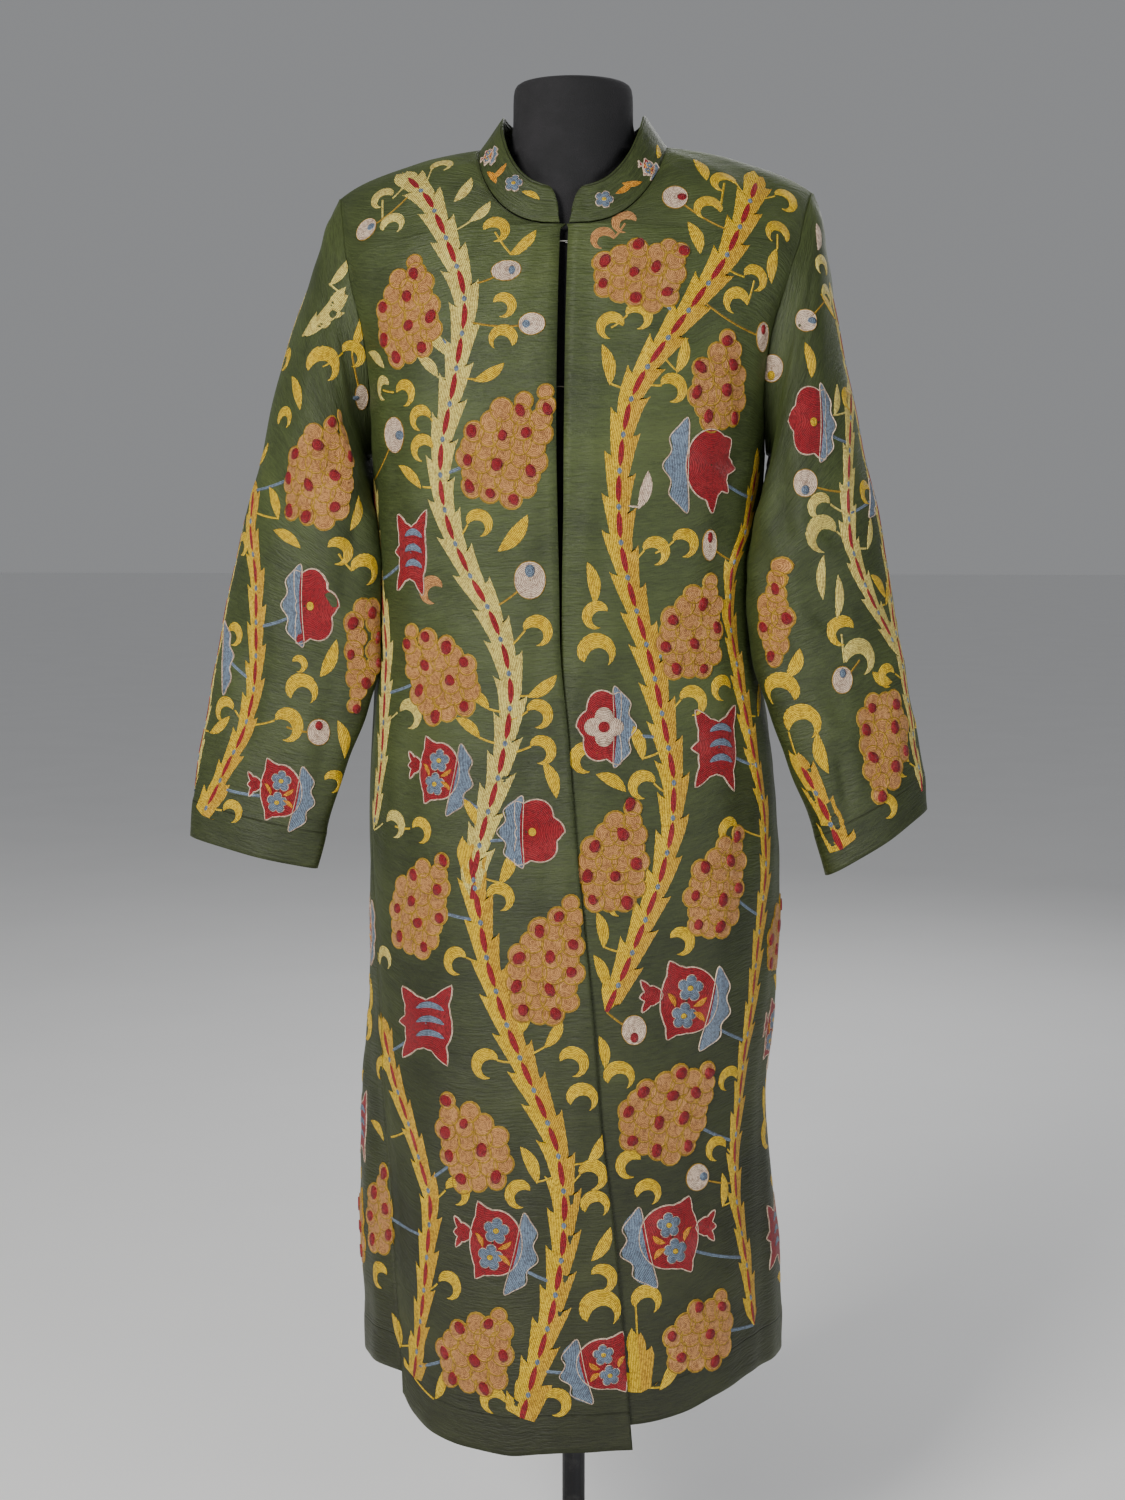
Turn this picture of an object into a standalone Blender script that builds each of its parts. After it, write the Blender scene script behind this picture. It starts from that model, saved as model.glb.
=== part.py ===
"""Embroidered chapan robe hanging on a limbless dress form.

Metres, +Z up. The robe faces -Y and the wearer's left arm is at +X. The origin is
on the floor, under the middle of the stand's base.
"""
import math
from typing import NamedTuple

import bmesh
import bpy
from mathutils import Vector

# Cloth
WALL = 0.002
SEAM = 0.0003
HALF_WALL = WALL / 2
FACET_CLEAR = 0.0003
SEAM_HALF = SEAM / 2 + FACET_CLEAR
SLEEVE_CLEAR = WALL + 0.0014
SLEEVE_SEAM = 0.0016
UNDERARM_SEAM = 0.0017
SHOULDER_HALF_GAP = 0.00055

# Heights of the robe's main levels
UNDERARM_Z = 1.100
FRONT_EDGE_CLOSED_Z = 0.935
LAP_OPEN_Z = 1.010
HEM_START_Z = 0.240
HEM_PASSES = 4

# Neck seam, in plan
NECK_HALF_WIDTH = 0.084
NECK_FRONT = 0.084
NECK_BACK = 0.062
NECK_SQUARENESS = 3.0
NEARLY_SHOULDER = 89.0
HALVINGS = 40

# Collar
COLLAR_TOP_HALF_WIDTH = 0.0605
COLLAR_TOP_FRONT = 0.072
COLLAR_TOP_BACK = 0.055
COLLAR_FRONT_HEIGHT = 0.033
COLLAR_SIDE_HEIGHT = 0.029
COLLAR_BACK_HEIGHT = 0.034
COLLAR_CORNER = 0.020
COLLAR_CORNER_STEPS = 4
COLLAR_END_HEIGHT = 0.014
COLLAR_HALF_GAP = 0.0042
CENTRE_X = -0.0017
COLLAR_TOP_SPREAD = 0.0035
COLLAR_SPREAD_LENGTH = 0.030

# How the fronts and the back round over from chest to shoulder
FRONT_FULLNESS = 1.85
BACK_FULLNESS = 2.8

# Lap of the right front over the left one
LAP_SHIFT = 0.0016
LAP_FLAT_X = 0.090
LAP_END_X = 0.150

# Grid counts
FRONT_COLUMNS = 10
BACK_COLUMNS = 9
SKIRT_ROWS = 24
YOKE_STEPS_BELOW_NECK = 6
YOKE_STEPS_ABOVE_NECK = (0.16, 0.34, 0.53, 0.72, 0.88, 0.997)
SLEEVE_RINGS = 20
COLLAR_ROWS = 3
ARMHOLE_REACH = 3.2
TURN_REACH = 6.0
FORM_SIDES = 24

# Stand
BASE_RADIUS = 0.170
BASE_THICKNESS = 0.006
HUB_RADIUS = 0.030
HUB_HEIGHT = 0.028
POLE_RADIUS = 0.011
SOCKET_RADIUS = 0.036
SOCKET_HEIGHT = 0.030
FORM_BOTTOM_Z = 0.720
NECK_RADIUS = 0.054
NECK_SETBACK = -0.012
FORM_SEAT = 0.0019
FORM_SIDE_CLEAR = 0.0012
FORM_NECK_CLEAR = 0.002
FORM_NECK_STARTS_Z = 1.25

# Hooks and eyes
WIRE_RADIUS = 0.00045
WIRE_CLEAR = 0.0003
FRONT_WIRE_CLEAR = 0.0001
HOOK_SHANK_X = -0.0120
HOOK_BEND_X = 0.0018
HOOK_TIP_X = -0.0006
EYE_SHANK_X = 0.0125
EYE_RISE_X = 0.0060
EYE_CORNER_X = 0.0026
EYE_HALF_HEIGHT = 0.0021
EYE_BAR_HALF_HEIGHT = 0.0013
HOOK_LEVELS = (1.283, 1.155, 0.955)


class Section(NamedTuple):
    """One level of the robe's body below the underarm."""
    height: float
    half_width: float
    front: float
    back: float
    shift: float
    squareness: float


SECTIONS = (
    Section(0.200, 0.1985, 0.173, 0.170, 0.000, 2.00),
    Section(0.290, 0.1985, 0.170, 0.168, -0.001, 2.00),
    Section(0.360, 0.1985, 0.165, 0.164, -0.004, 2.00),
    Section(0.420, 0.1945, 0.160, 0.160, -0.007, 2.02),
    Section(0.500, 0.1900, 0.155, 0.156, -0.009, 2.05),
    Section(0.600, 0.1910, 0.148, 0.150, -0.002, 2.10),
    Section(0.700, 0.1910, 0.140, 0.142, 0.000, 2.20),
    Section(0.800, 0.1875, 0.130, 0.132, -0.002, 2.30),
    Section(0.880, 0.1800, 0.122, 0.118, -0.005, 2.35),
    Section(0.950, 0.1738, 0.118, 0.108, -0.008, 2.40),
    Section(1.020, 0.1752, 0.122, 0.108, -0.006, 2.50),
    Section(1.100, 0.1780, 0.128, 0.112, -0.004, 2.70),
)


class Rise(NamedTuple):
    """One level curve from the underarm (0 degrees) to the shoulder seam (90)."""
    angle: float
    half_width: float
    shift: float
    squareness: float
    front_armhole: float
    back_armhole: float


RISES = (
    Rise(0.0, 0.1780, -0.004, 2.70, 1.000, 1.000),
    Rise(9.5, 0.1787, -0.004, 2.90, 0.988, 0.995),
    Rise(23.5, 0.1877, -0.003, 3.00, 0.957, 0.986),
    Rise(42.7, 0.2117, -0.001, 3.00, 0.928, 0.978),
    Rise(53.0, 0.2165, 0.000, 3.00, 0.942, 0.981),
    Rise(70.0, 0.2160, 0.000, 3.00, 0.975, 0.990),
    Rise(90.0, 0.2150, 0.000, 3.00, 1.000, 1.000),
)


class Ridge(NamedTuple):
    """Height of the shoulder line at a distance from the middle."""
    reach: float
    height: float


RIDGE = (
    Ridge(0.000, 1.3770),
    Ridge(0.050, 1.3765),
    Ridge(0.085, 1.3740),
    Ridge(0.128, 1.3670),
    Ridge(0.153, 1.3597),
    Ridge(0.182, 1.3500),
    Ridge(0.200, 1.3420),
    Ridge(0.217, 1.3310),
    Ridge(0.240, 1.3100),
)


class Edge(NamedTuple):
    """Sideways places of the two front edges, and of the two side seams, at a height."""
    height: float
    right_front_x: float
    left_front_x: float
    right_seam: float
    left_seam: float


EDGES = (
    Edge(0.200, 0.0670, -0.022, 49.0, 97.0),
    Edge(0.350, 0.0550, -0.020, 51.0, 96.0),
    Edge(0.420, 0.0480, -0.018, 52.5, 95.0),
    Edge(0.510, 0.0365, -0.016, 56.0, 94.0),
    Edge(0.600, 0.0295, -0.013, 62.0, 93.0),
    Edge(0.740, 0.0150, -0.009, 71.0, 92.0),
    Edge(0.850, 0.0055, -0.005, 79.0, 91.0),
    Edge(FRONT_EDGE_CLOSED_Z, -0.0026, -0.0014, 85.0, 90.5),
    Edge(0.985, -0.0033, -0.0007, 88.0, 90.0),
    Edge(1.060, -0.0045, 0.0010, 90.0, 90.0),
    Edge(1.150, -0.0052, 0.0018, 90.0, 90.0),
    Edge(1.400, -0.0053, 0.0020, 90.0, 90.0),
)


class Hem(NamedTuple):
    """Height of the hem at an angle from the centre front towards a side."""
    angle: float
    right_front: float
    left_front: float
    back: float


HEMS = (
    Hem(-30.0, 0.2210, 0.2390, 0.255),
    Hem(0.0, 0.2195, 0.2395, 0.255),
    Hem(13.0, 0.2145, 0.2410, 0.255),
    Hem(24.0, 0.2155, 0.2430, 0.256),
    Hem(34.0, 0.2200, 0.2470, 0.258),
    Hem(44.0, 0.2290, 0.2560, 0.261),
    Hem(51.0, 0.2440, 0.2600, 0.262),
    Hem(60.0, 0.2460, 0.2630, 0.261),
    Hem(75.0, 0.2470, 0.2620, 0.258),
    Hem(90.0, 0.2480, 0.2600, 0.257),
    Hem(180.0, 0.2480, 0.2600, 0.255),
)


class Fold(NamedTuple):
    """A soft vertical ridge (positive depth) or valley, angles from the centre front."""
    top_angle: float
    hem_angle: float
    top_z: float
    depth: float
    half_angle: float


FOLDS = (
    Fold(-70.0, -48.0, 0.66, -0.0050, 7.0),
    Fold(-84.0, -62.0, 0.66, 0.0020, 9.0),
    Fold(66.0, 66.0, 0.62, -0.0040, 9.0),
    Fold(-12.0, -18.0, 0.55, 0.0022, 12.0),
    Fold(128.0, 124.0, 0.88, -0.0070, 13.0),
    Fold(150.0, 150.0, 0.92, 0.0060, 14.0),
    Fold(176.0, 178.0, 0.88, -0.0060, 12.0),
    Fold(-154.0, -150.0, 0.90, 0.0065, 14.0),
    Fold(-126.0, -122.0, 0.84, -0.0070, 13.0),
)


class SleeveRing(NamedTuple):
    """One oval of a sleeve, by its outer and inner ends and its half depth."""
    station: float
    outer_x: float
    outer_y: float
    outer_z: float
    inner_x: float
    inner_y: float
    inner_z: float
    half_depth: float


RIGHT_SLEEVE = (
    SleeveRing(0.0, 0.2180, 0.000, 1.330, 0.1850, 0.000, 1.100, 0.050),
    SleeveRing(1.0, 0.2260, 0.000, 1.312, 0.1915, -0.010, 1.096, 0.052),
    SleeveRing(2.0, 0.2345, -0.001, 1.281, 0.1870, -0.024, 1.083, 0.055),
    SleeveRing(3.0, 0.2475, -0.002, 1.240, 0.1800, -0.040, 1.062, 0.058),
    SleeveRing(4.0, 0.2680, -0.004, 1.174, 0.1740, -0.051, 1.034, 0.058),
    SleeveRing(5.0, 0.2860, -0.006, 1.098, 0.1710, -0.056, 0.998, 0.052),
    SleeveRing(6.0, 0.3055, -0.009, 1.030, 0.1730, -0.058, 0.960, 0.044),
    SleeveRing(7.0, 0.3220, -0.012, 0.955, 0.1740, -0.059, 0.912, 0.036),
    SleeveRing(8.0, 0.3345, -0.016, 0.895, 0.1860, -0.059, 0.868, 0.030),
    SleeveRing(9.0, 0.3440, -0.020, 0.843, 0.2060, -0.058, 0.815, 0.027),
    SleeveRing(10.0, 0.3520, -0.025, 0.793, 0.2210, -0.058, 0.767, 0.023),
    SleeveRing(11.0, 0.3580, -0.030, 0.746, 0.2345, -0.058, 0.721, 0.020),
)

LEFT_SLEEVE = (
    SleeveRing(0.0, 0.2180, 0.000, 1.330, 0.1772, 0.000, 1.100, 0.050),
    SleeveRing(1.0, 0.2240, 0.001, 1.312, 0.1840, -0.010, 1.096, 0.052),
    SleeveRing(2.0, 0.2285, 0.002, 1.281, 0.1780, -0.024, 1.083, 0.055),
    SleeveRing(3.0, 0.2340, 0.003, 1.240, 0.1710, -0.040, 1.062, 0.058),
    SleeveRing(4.0, 0.2460, 0.005, 1.174, 0.1650, -0.050, 1.034, 0.059),
    SleeveRing(5.0, 0.2615, 0.006, 1.098, 0.1620, -0.055, 0.998, 0.056),
    SleeveRing(6.0, 0.2785, 0.007, 1.030, 0.1635, -0.057, 0.960, 0.050),
    SleeveRing(7.0, 0.2890, 0.007, 0.962, 0.1690, -0.058, 0.912, 0.044),
    SleeveRing(8.0, 0.3000, 0.007, 0.905, 0.1860, -0.059, 0.864, 0.040),
    SleeveRing(9.0, 0.3100, 0.006, 0.858, 0.2040, -0.060, 0.815, 0.037),
    SleeveRing(10.0, 0.3180, 0.005, 0.816, 0.2230, -0.060, 0.768, 0.035),
    SleeveRing(11.0, 0.3235, 0.004, 0.775, 0.2370, -0.061, 0.722, 0.033),
)


class FormRing(NamedTuple):
    """One level of the dress form."""
    height: float
    half_width: float
    front: float
    back: float
    squareness: float


FORM = (
    FormRing(FORM_BOTTOM_Z, 0.142, 0.092, 0.094, 2.2),
    FormRing(0.724, 0.150, 0.099, 0.101, 2.2),
    FormRing(0.740, 0.156, 0.103, 0.106, 2.2),
    FormRing(0.800, 0.160, 0.106, 0.112, 2.2),
    FormRing(0.870, 0.154, 0.100, 0.104, 2.2),
    FormRing(0.940, 0.142, 0.093, 0.090, 2.2),
    FormRing(1.010, 0.138, 0.093, 0.088, 2.2),
    FormRing(1.080, 0.146, 0.104, 0.094, 2.3),
    FormRing(1.150, 0.154, 0.112, 0.100, 2.4),
    FormRing(1.210, 0.163, 0.104, 0.098, 2.5),
    FormRing(1.260, 0.178, 0.088, 0.090, 2.6),
    FormRing(1.295, 0.193, 0.074, 0.080, 2.6),
    FormRing(1.318, 0.201, 0.062, 0.070, 2.4),
    FormRing(1.333, 0.2035, 0.052, 0.062, 2.2),
)
FORM_SHOULDER_REACHES = (0.199, 0.190, 0.178, 0.162, 0.145, 0.125, 0.105, 0.090, 0.076, 0.064)
NECK_BLEND_POWER = 8.0
NECK_EDGES = ((1.384, 0.0), (1.402, 0.0), (1.421, 0.0), (1.4275, 0.0022), (1.430, 0.0080))


class Finish(NamedTuple):
    """A plain surface: colour, roughness and metallic value."""
    colour: tuple
    roughness: float
    metallic: float


SILK = Finish((0.075, 0.110, 0.035), 0.50, 0.0)
VELVET = Finish((0.012, 0.011, 0.012), 0.95, 0.0)
STAND_METAL = Finish((0.030, 0.030, 0.032), 0.45, 0.7)
HOOK_METAL = Finish((0.55, 0.54, 0.50), 0.30, 1.0)


def smooth(table, field, at, key=0):
    """Read a named column of a table at a value of its key column, without overshoot."""
    low = 0
    while low < len(table) - 2 and table[low + 1][key] < at:
        low += 1
    before, after = table[low], table[low + 1]
    span = after[key] - before[key]
    part = min(max((at - before[key]) / span, 0.0), 1.0)
    start, end = getattr(before, field), getattr(after, field)
    slope = (end - start) / span

    def joint_slope(other_slope):
        if other_slope * slope <= 0.0:
            return 0.0
        return 2.0 * other_slope * slope / (other_slope + slope)

    slope_in = slope
    if low > 0:
        previous = table[low - 1]
        slope_in = joint_slope((start - getattr(previous, field)) / (before[key] - previous[key]))
    slope_out = slope
    if low < len(table) - 2:
        following = table[low + 2]
        slope_out = joint_slope((getattr(following, field) - end) / (following[key] - after[key]))
    square, cube = part * part, part * part * part
    return (start * (2 * cube - 3 * square + 1) + end * (3 * square - 2 * cube)
            + span * (slope_in * (cube - 2 * square + part) + slope_out * (cube - square)))


def ease(part):
    """Rise smoothly from 0 to 1."""
    part = min(max(part, 0.0), 1.0)
    return part * part * (3 - 2 * part)


def signed_power(value, power):
    """Raise the size of a number to a power and keep its sign."""
    return math.copysign(abs(value) ** power, value)


def ridge_height(x):
    """Height of the shoulder line."""
    return smooth(RIDGE, "height", abs(x))


def fold_depth(angle, z):
    """Outward shift of the skirt's soft folds at an angle from the centre front."""
    total = 0.0
    for fold in FOLDS:
        if z >= fold.top_z:
            continue
        grown = ease((fold.top_z - z) / (fold.top_z - 0.30))
        middle = fold.top_angle + (fold.hem_angle - fold.top_angle) * grown
        away = abs((angle - middle + 180.0) % 360.0 - 180.0) / fold.half_angle
        if away < 2.0:
            total += fold.depth * grown * ease(1.0 - away / 2.0)
    return total


def lap_share(x, z):
    """How far the two fronts have parted into layers: 0 edge to edge, 1 fully lapped."""
    across = 1.0 - ease((abs(x) - LAP_FLAT_X) / (LAP_END_X - LAP_FLAT_X))
    return across * ease((LAP_OPEN_Z - z) / (LAP_OPEN_Z - FRONT_EDGE_CLOSED_Z))


def skirt_point(angle, z, layer=0.0):
    """Point of the body below the underarm. Angle 0 is the centre front, 90 is +X."""
    turn = math.radians(angle)
    power = 2.0 / smooth(SECTIONS, "squareness", z)
    across = signed_power(math.sin(turn), power)
    along = signed_power(math.cos(turn), power)
    half_width = smooth(SECTIONS, "half_width", z)
    depth = smooth(SECTIONS, "front" if along > 0 else "back", z)
    outward = Vector((math.sin(turn) / half_width, -math.cos(turn) / depth, 0.0)).normalized()
    x = smooth(SECTIONS, "shift", z) + half_width * across
    point = Vector((x, -depth * along, z))
    lap = lap_share(x, z) if along > 0 else 0.0
    return point + outward * (fold_depth(angle, z) + layer * lap)


def yoke_point(angle, rise):
    """Point of the body above the underarm. Rise 0 is the underarm level, 90 the shoulder."""
    turn = math.radians(angle)
    power = 2.0 / smooth(RISES, "squareness", rise)
    across = signed_power(math.sin(turn), power)
    along = signed_power(math.cos(turn), power)
    x = smooth(RISES, "shift", rise) + smooth(RISES, "half_width", rise) * across
    at_underarm = SECTIONS[-1]
    fullness = FRONT_FULLNESS if along > 0 else BACK_FULLNESS
    depth = at_underarm.front if along > 0 else at_underarm.back
    climb = math.radians(rise)
    inward = max(math.cos(climb), 0.0) ** (2.0 / fullness)
    upward = math.sin(climb) ** (2.0 / fullness)
    return Vector((x, -depth * along * inward, UNDERARM_Z + (ridge_height(x) - UNDERARM_Z) * upward))


def angle_at_x(x, z):
    """Angle from the centre front at which the body's front is at x, below the underarm."""
    part = (x - smooth(SECTIONS, "shift", z)) / smooth(SECTIONS, "half_width", z)
    sine = signed_power(part, smooth(SECTIONS, "squareness", z) / 2.0)
    return math.degrees(math.asin(min(max(sine, -1.0), 1.0)))


def yoke_angle_at_x(x, rise):
    """Angle from the centre front at which the body's front is at x, above the underarm."""
    part = (x - smooth(RISES, "shift", rise)) / smooth(RISES, "half_width", rise)
    sine = signed_power(part, smooth(RISES, "squareness", rise) / 2.0)
    return math.degrees(math.asin(min(max(sine, -1.0), 1.0)))


def armhole_angle(side, back, rise):
    """Angle at which a panel ends at its armhole."""
    part = smooth(RISES, "back_armhole" if back else "front_armhole", rise)
    sine = min(part, 1.0) ** (smooth(RISES, "squareness", rise) / 2.0)
    turn = math.degrees(math.asin(sine))
    return side * (180.0 - turn if back else turn)


def neck_plan(x, y, margin=0.0):
    """Below 1 inside the neck seam as seen from above, above 1 outside it."""
    depth = NECK_FRONT if y < 0 else NECK_BACK
    return ((abs(x) / (NECK_HALF_WIDTH + margin)) ** NECK_SQUARENESS
            + (abs(y) / (depth + margin)) ** NECK_SQUARENESS)


def seam_margin(rise):
    """How far outside the collar's middle a panel ends at the neck seam."""
    return SEAM + HALF_WALL * (1.0 + math.cos(math.radians(rise)))


def neck_angle(side, back, rise, margin):
    """Angle at which a level curve of a panel leaves the neck seam, or None below it."""
    near, far = (180.0, 90.0) if back else (0.0, 90.0)
    start = yoke_point(side * near, rise)
    if neck_plan(start.x, start.y, margin) > 1.0:
        return None
    for _ in range(HALVINGS):
        middle = (near + far) / 2
        point = yoke_point(side * middle, rise)
        if neck_plan(point.x, point.y, margin) < 1.0:
            near = middle
        else:
            far = middle
    return side * (near + far) / 2


def neck_rise(side, back, on_collar=False):
    """Rise at which the centre line of a panel, or of the collar, meets the neck seam."""
    low, high = 20.0, NEARLY_SHOULDER
    for _ in range(HALVINGS):
        middle = (low + high) / 2
        if neck_angle(side, back, middle, 0.0 if on_collar else seam_margin(middle)) is None:
            low = middle
        else:
            high = middle
    return high


def spread(start, end, count):
    """Evenly spaced values from start to end."""
    return [start + (end - start) * step / count for step in range(count + 1)]


def rise_steps(neck_at):
    """Rises of the yoke's rows, with one row just at the bottom of the neck seam."""
    below = spread(0.0, neck_at, YOKE_STEPS_BELOW_NECK)[1:]
    above = [neck_at + (90.0 - neck_at) * share for share in YOKE_STEPS_ABOVE_NECK]
    return below + above


def front_rows(side):
    """Points of a front panel, from hem to shoulder, each row from front edge to side."""
    right = side < 0
    edge_field = "right_front_x" if right else "left_front_x"
    seam_field = "right_seam" if right else "left_seam"
    hem_field = "right_front" if right else "left_front"
    layer = LAP_SHIFT if right else -LAP_SHIFT
    rows = []
    for row in range(SKIRT_ROWS + 1):
        level = row / SKIRT_ROWS
        points = []
        for column in range(FRONT_COLUMNS + 1):
            part = column / FRONT_COLUMNS
            z = HEM_START_Z + (UNDERARM_Z - HEM_START_Z) * level
            for _ in range(HEM_PASSES):
                start = angle_at_x(smooth(EDGES, edge_field, z), z)
                end = side * smooth(EDGES, seam_field, z)
                end -= side * math.degrees(SEAM_HALF / smooth(SECTIONS, "front", z))
                angle = start + (end - start) * part
                hem = smooth(HEMS, hem_field, side * angle)
                z = hem + (UNDERARM_Z - hem) * level
            points.append(skirt_point(angle, z, layer))
        rows.append(points)
    neck_at = neck_rise(side, False)
    for rise in rise_steps(neck_at):
        height = yoke_point(0.0, rise).z
        start = neck_angle(side, False, rise, seam_margin(rise))
        if start is None:
            start = yoke_angle_at_x(smooth(EDGES, edge_field, height), rise)
        end = armhole_angle(side, False, min(rise, NEARLY_SHOULDER))
        points = [yoke_point(angle, rise) for angle in spread(start, end, FRONT_COLUMNS)]
        rows.append(points)
    for point in rows[-1]:
        point.y = min(point.y, -SHOULDER_HALF_GAP)
    return rows


def back_rows(side):
    """Points of half of the back, from hem to shoulder, each row from the middle out."""
    seam_field = "left_seam" if side > 0 else "right_seam"
    rows = []
    for row in range(SKIRT_ROWS + 1):
        level = row / SKIRT_ROWS
        points = []
        for column in range(BACK_COLUMNS + 1):
            part = column / BACK_COLUMNS
            z = HEM_START_Z + (UNDERARM_Z - HEM_START_Z) * level
            for _ in range(HEM_PASSES):
                end = smooth(EDGES, seam_field, z)
                end += math.degrees(SEAM_HALF / smooth(SECTIONS, "back", z))
                angle = side * (180.0 + (end - 180.0) * part)
                hem = smooth(HEMS, "back", abs(angle))
                z = hem + (UNDERARM_Z - hem) * level
            points.append(skirt_point(angle, z))
        rows.append(points)
    neck_at = neck_rise(side, True)
    for rise in rise_steps(neck_at):
        start = neck_angle(side, True, rise, seam_margin(rise))
        if start is None:
            start = side * 180.0
        end = armhole_angle(side, True, min(rise, NEARLY_SHOULDER))
        points = [yoke_point(angle, rise) for angle in spread(start, end, BACK_COLUMNS)]
        rows.append(points)
    for point in rows[-1]:
        point.y = max(point.y, SHOULDER_HALF_GAP)
    return rows


def armhole_loop(side):
    """Points around an armhole, from the shoulder down the front and back up.

    They lie at the same rises as the rows of the panels, so that the edges stay parallel.
    """
    front_rises = [90.0] + rise_steps(neck_rise(side, False))[-2::-1]
    back_rises = [0.0] + rise_steps(neck_rise(side, True))[:-1]
    front = [yoke_point(armhole_angle(side, False, rise), rise) for rise in front_rises]
    back = [yoke_point(armhole_angle(side, True, rise), rise) for rise in back_rises]
    return front + back


def clear_of_body(point, side, gap):
    """Move a point of a sleeve sideways until it is clear of the body it hangs beside."""
    back = point.y > 0
    panel_share = 1.0
    if point.z < UNDERARM_Z:
        depth = smooth(SECTIONS, "back" if back else "front", point.z)
        table, at = SECTIONS, point.z
    else:
        share = (point.z - UNDERARM_Z) / (ridge_height(point.x) - UNDERARM_Z)
        if share >= 1.0:
            return point
        fullness = BACK_FULLNESS if back else FRONT_FULLNESS
        climb = math.asin(share ** (fullness / 2.0))
        depth = SECTIONS[-1].back if back else SECTIONS[-1].front
        depth *= math.cos(climb) ** (2.0 / fullness)
        table, at = RISES, math.degrees(climb)
        panel_share = smooth(RISES, "back_armhole" if back else "front_armhole", at)
    along = abs(point.y) / (depth + gap)
    if along >= 1.0:
        return point
    squareness = smooth(table, "squareness", at)
    half_width = smooth(table, "half_width", at)
    across = (half_width + gap) * (1.0 - along ** squareness) ** (1.0 / squareness)
    limit = side * smooth(table, "shift", at) + min(across, half_width * panel_share + gap)
    return Vector((side * max(side * point.x, limit), point.y, point.z))


def armhole_turns(loop, table):
    """Turns at which a sleeve's first oval is as high as the points of its armhole."""
    middle = (table[0].outer_z + table[0].inner_z) / 2
    half = (table[0].outer_z - table[0].inner_z) / 2
    turns = [math.acos(min(max((point.z - middle) / half, -1.0), 1.0)) for point in loop]
    underarm = len(loop) // 2
    return turns[:underarm + 1] + [math.tau - turn for turn in turns[underarm + 1:]]


def sleeve_oval(side, table, at, turns):
    """Points of a sleeve's oval cross section at a station of its table."""
    outer = Vector((side * smooth(table, "outer_x", at), smooth(table, "outer_y", at),
                    smooth(table, "outer_z", at)))
    inner = Vector((side * smooth(table, "inner_x", at), smooth(table, "inner_y", at),
                    smooth(table, "inner_z", at)))
    major = (outer - inner) / 2
    forward = Vector((0, -1, 0))
    minor = (forward - major * (forward.dot(major) / major.length_squared)).normalized()
    minor *= smooth(table, "half_depth", at)
    return [(outer + inner) / 2 + major * math.cos(turn) + minor * math.sin(turn) for turn in turns]


def sleeve_rings(side, table):
    """Rings of a sleeve from its armhole to its cuff."""
    loop = armhole_loop(side)
    at_armhole = armhole_turns(loop, table)
    first = sleeve_oval(side, table, 0.0, at_armhole)
    rings = []
    for at in spread(0.0, table[-1].station, SLEEVE_RINGS):
        keep = max(1.0 - at / ARMHOLE_REACH, 0.0) ** 2
        uneven = max(1.0 - at / TURN_REACH, 0.0)
        gap = SLEEVE_CLEAR * min(at, 1.0)
        even_turns = [math.tau * step / len(loop) for step in range(len(loop))]
        turns = [even + (odd - even) * uneven for even, odd in zip(even_turns, at_armhole)]
        points = []
        for step, point in enumerate(sleeve_oval(side, table, at, turns)):
            under = ((1.0 - math.cos(turns[step])) / 2) ** 3
            offset = Vector((side * (SLEEVE_SEAM + UNDERARM_SEAM * under), 0.0, SEAM))
            point += (loop[step] + offset - first[step]) * keep
            points.append(clear_of_body(point, side, gap) if at > 0.0 else point)
        rings.append(points)
    return rings


def neck_seam_half(side):
    """Feet of the collar on one side, from the front edge to the centre back."""
    front_at = neck_rise(side, False, on_collar=True)
    edge_x = CENTRE_X + side * COLLAR_HALF_GAP
    feet = [yoke_point(yoke_angle_at_x(edge_x, front_at), front_at)]
    for rise in rise_steps(neck_rise(side, False))[YOKE_STEPS_BELOW_NECK:]:
        feet.append(yoke_point(neck_angle(side, False, rise, 0.0), rise))
    feet[-1].y = 0.0
    first, second = feet[0], feet[1]
    feet[1:1] = [first.lerp(second, step / COLLAR_CORNER_STEPS) for step in range(1, COLLAR_CORNER_STEPS)]
    for rise in reversed(rise_steps(neck_rise(side, True))[YOKE_STEPS_BELOW_NECK:-1]):
        feet.append(yoke_point(neck_angle(side, True, rise, 0.0), rise))
    feet.append(yoke_point(side * 180.0, neck_rise(side, True, on_collar=True)))
    return feet


def collar_height(foot, from_end):
    """Height of the collar band over a foot, lower where its front corner is rounded."""
    side = (abs(foot.x) / NECK_HALF_WIDTH) ** 2
    height = COLLAR_SIDE_HEIGHT * side
    height += (COLLAR_FRONT_HEIGHT if foot.y < 0 else COLLAR_BACK_HEIGHT) * (1.0 - side)
    if from_end < COLLAR_CORNER:
        reach = 1.0 - from_end / COLLAR_CORNER
        height -= (COLLAR_FRONT_HEIGHT - COLLAR_END_HEIGHT) * (1.0 - math.sqrt(1.0 - reach ** 2))
    return height


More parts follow.
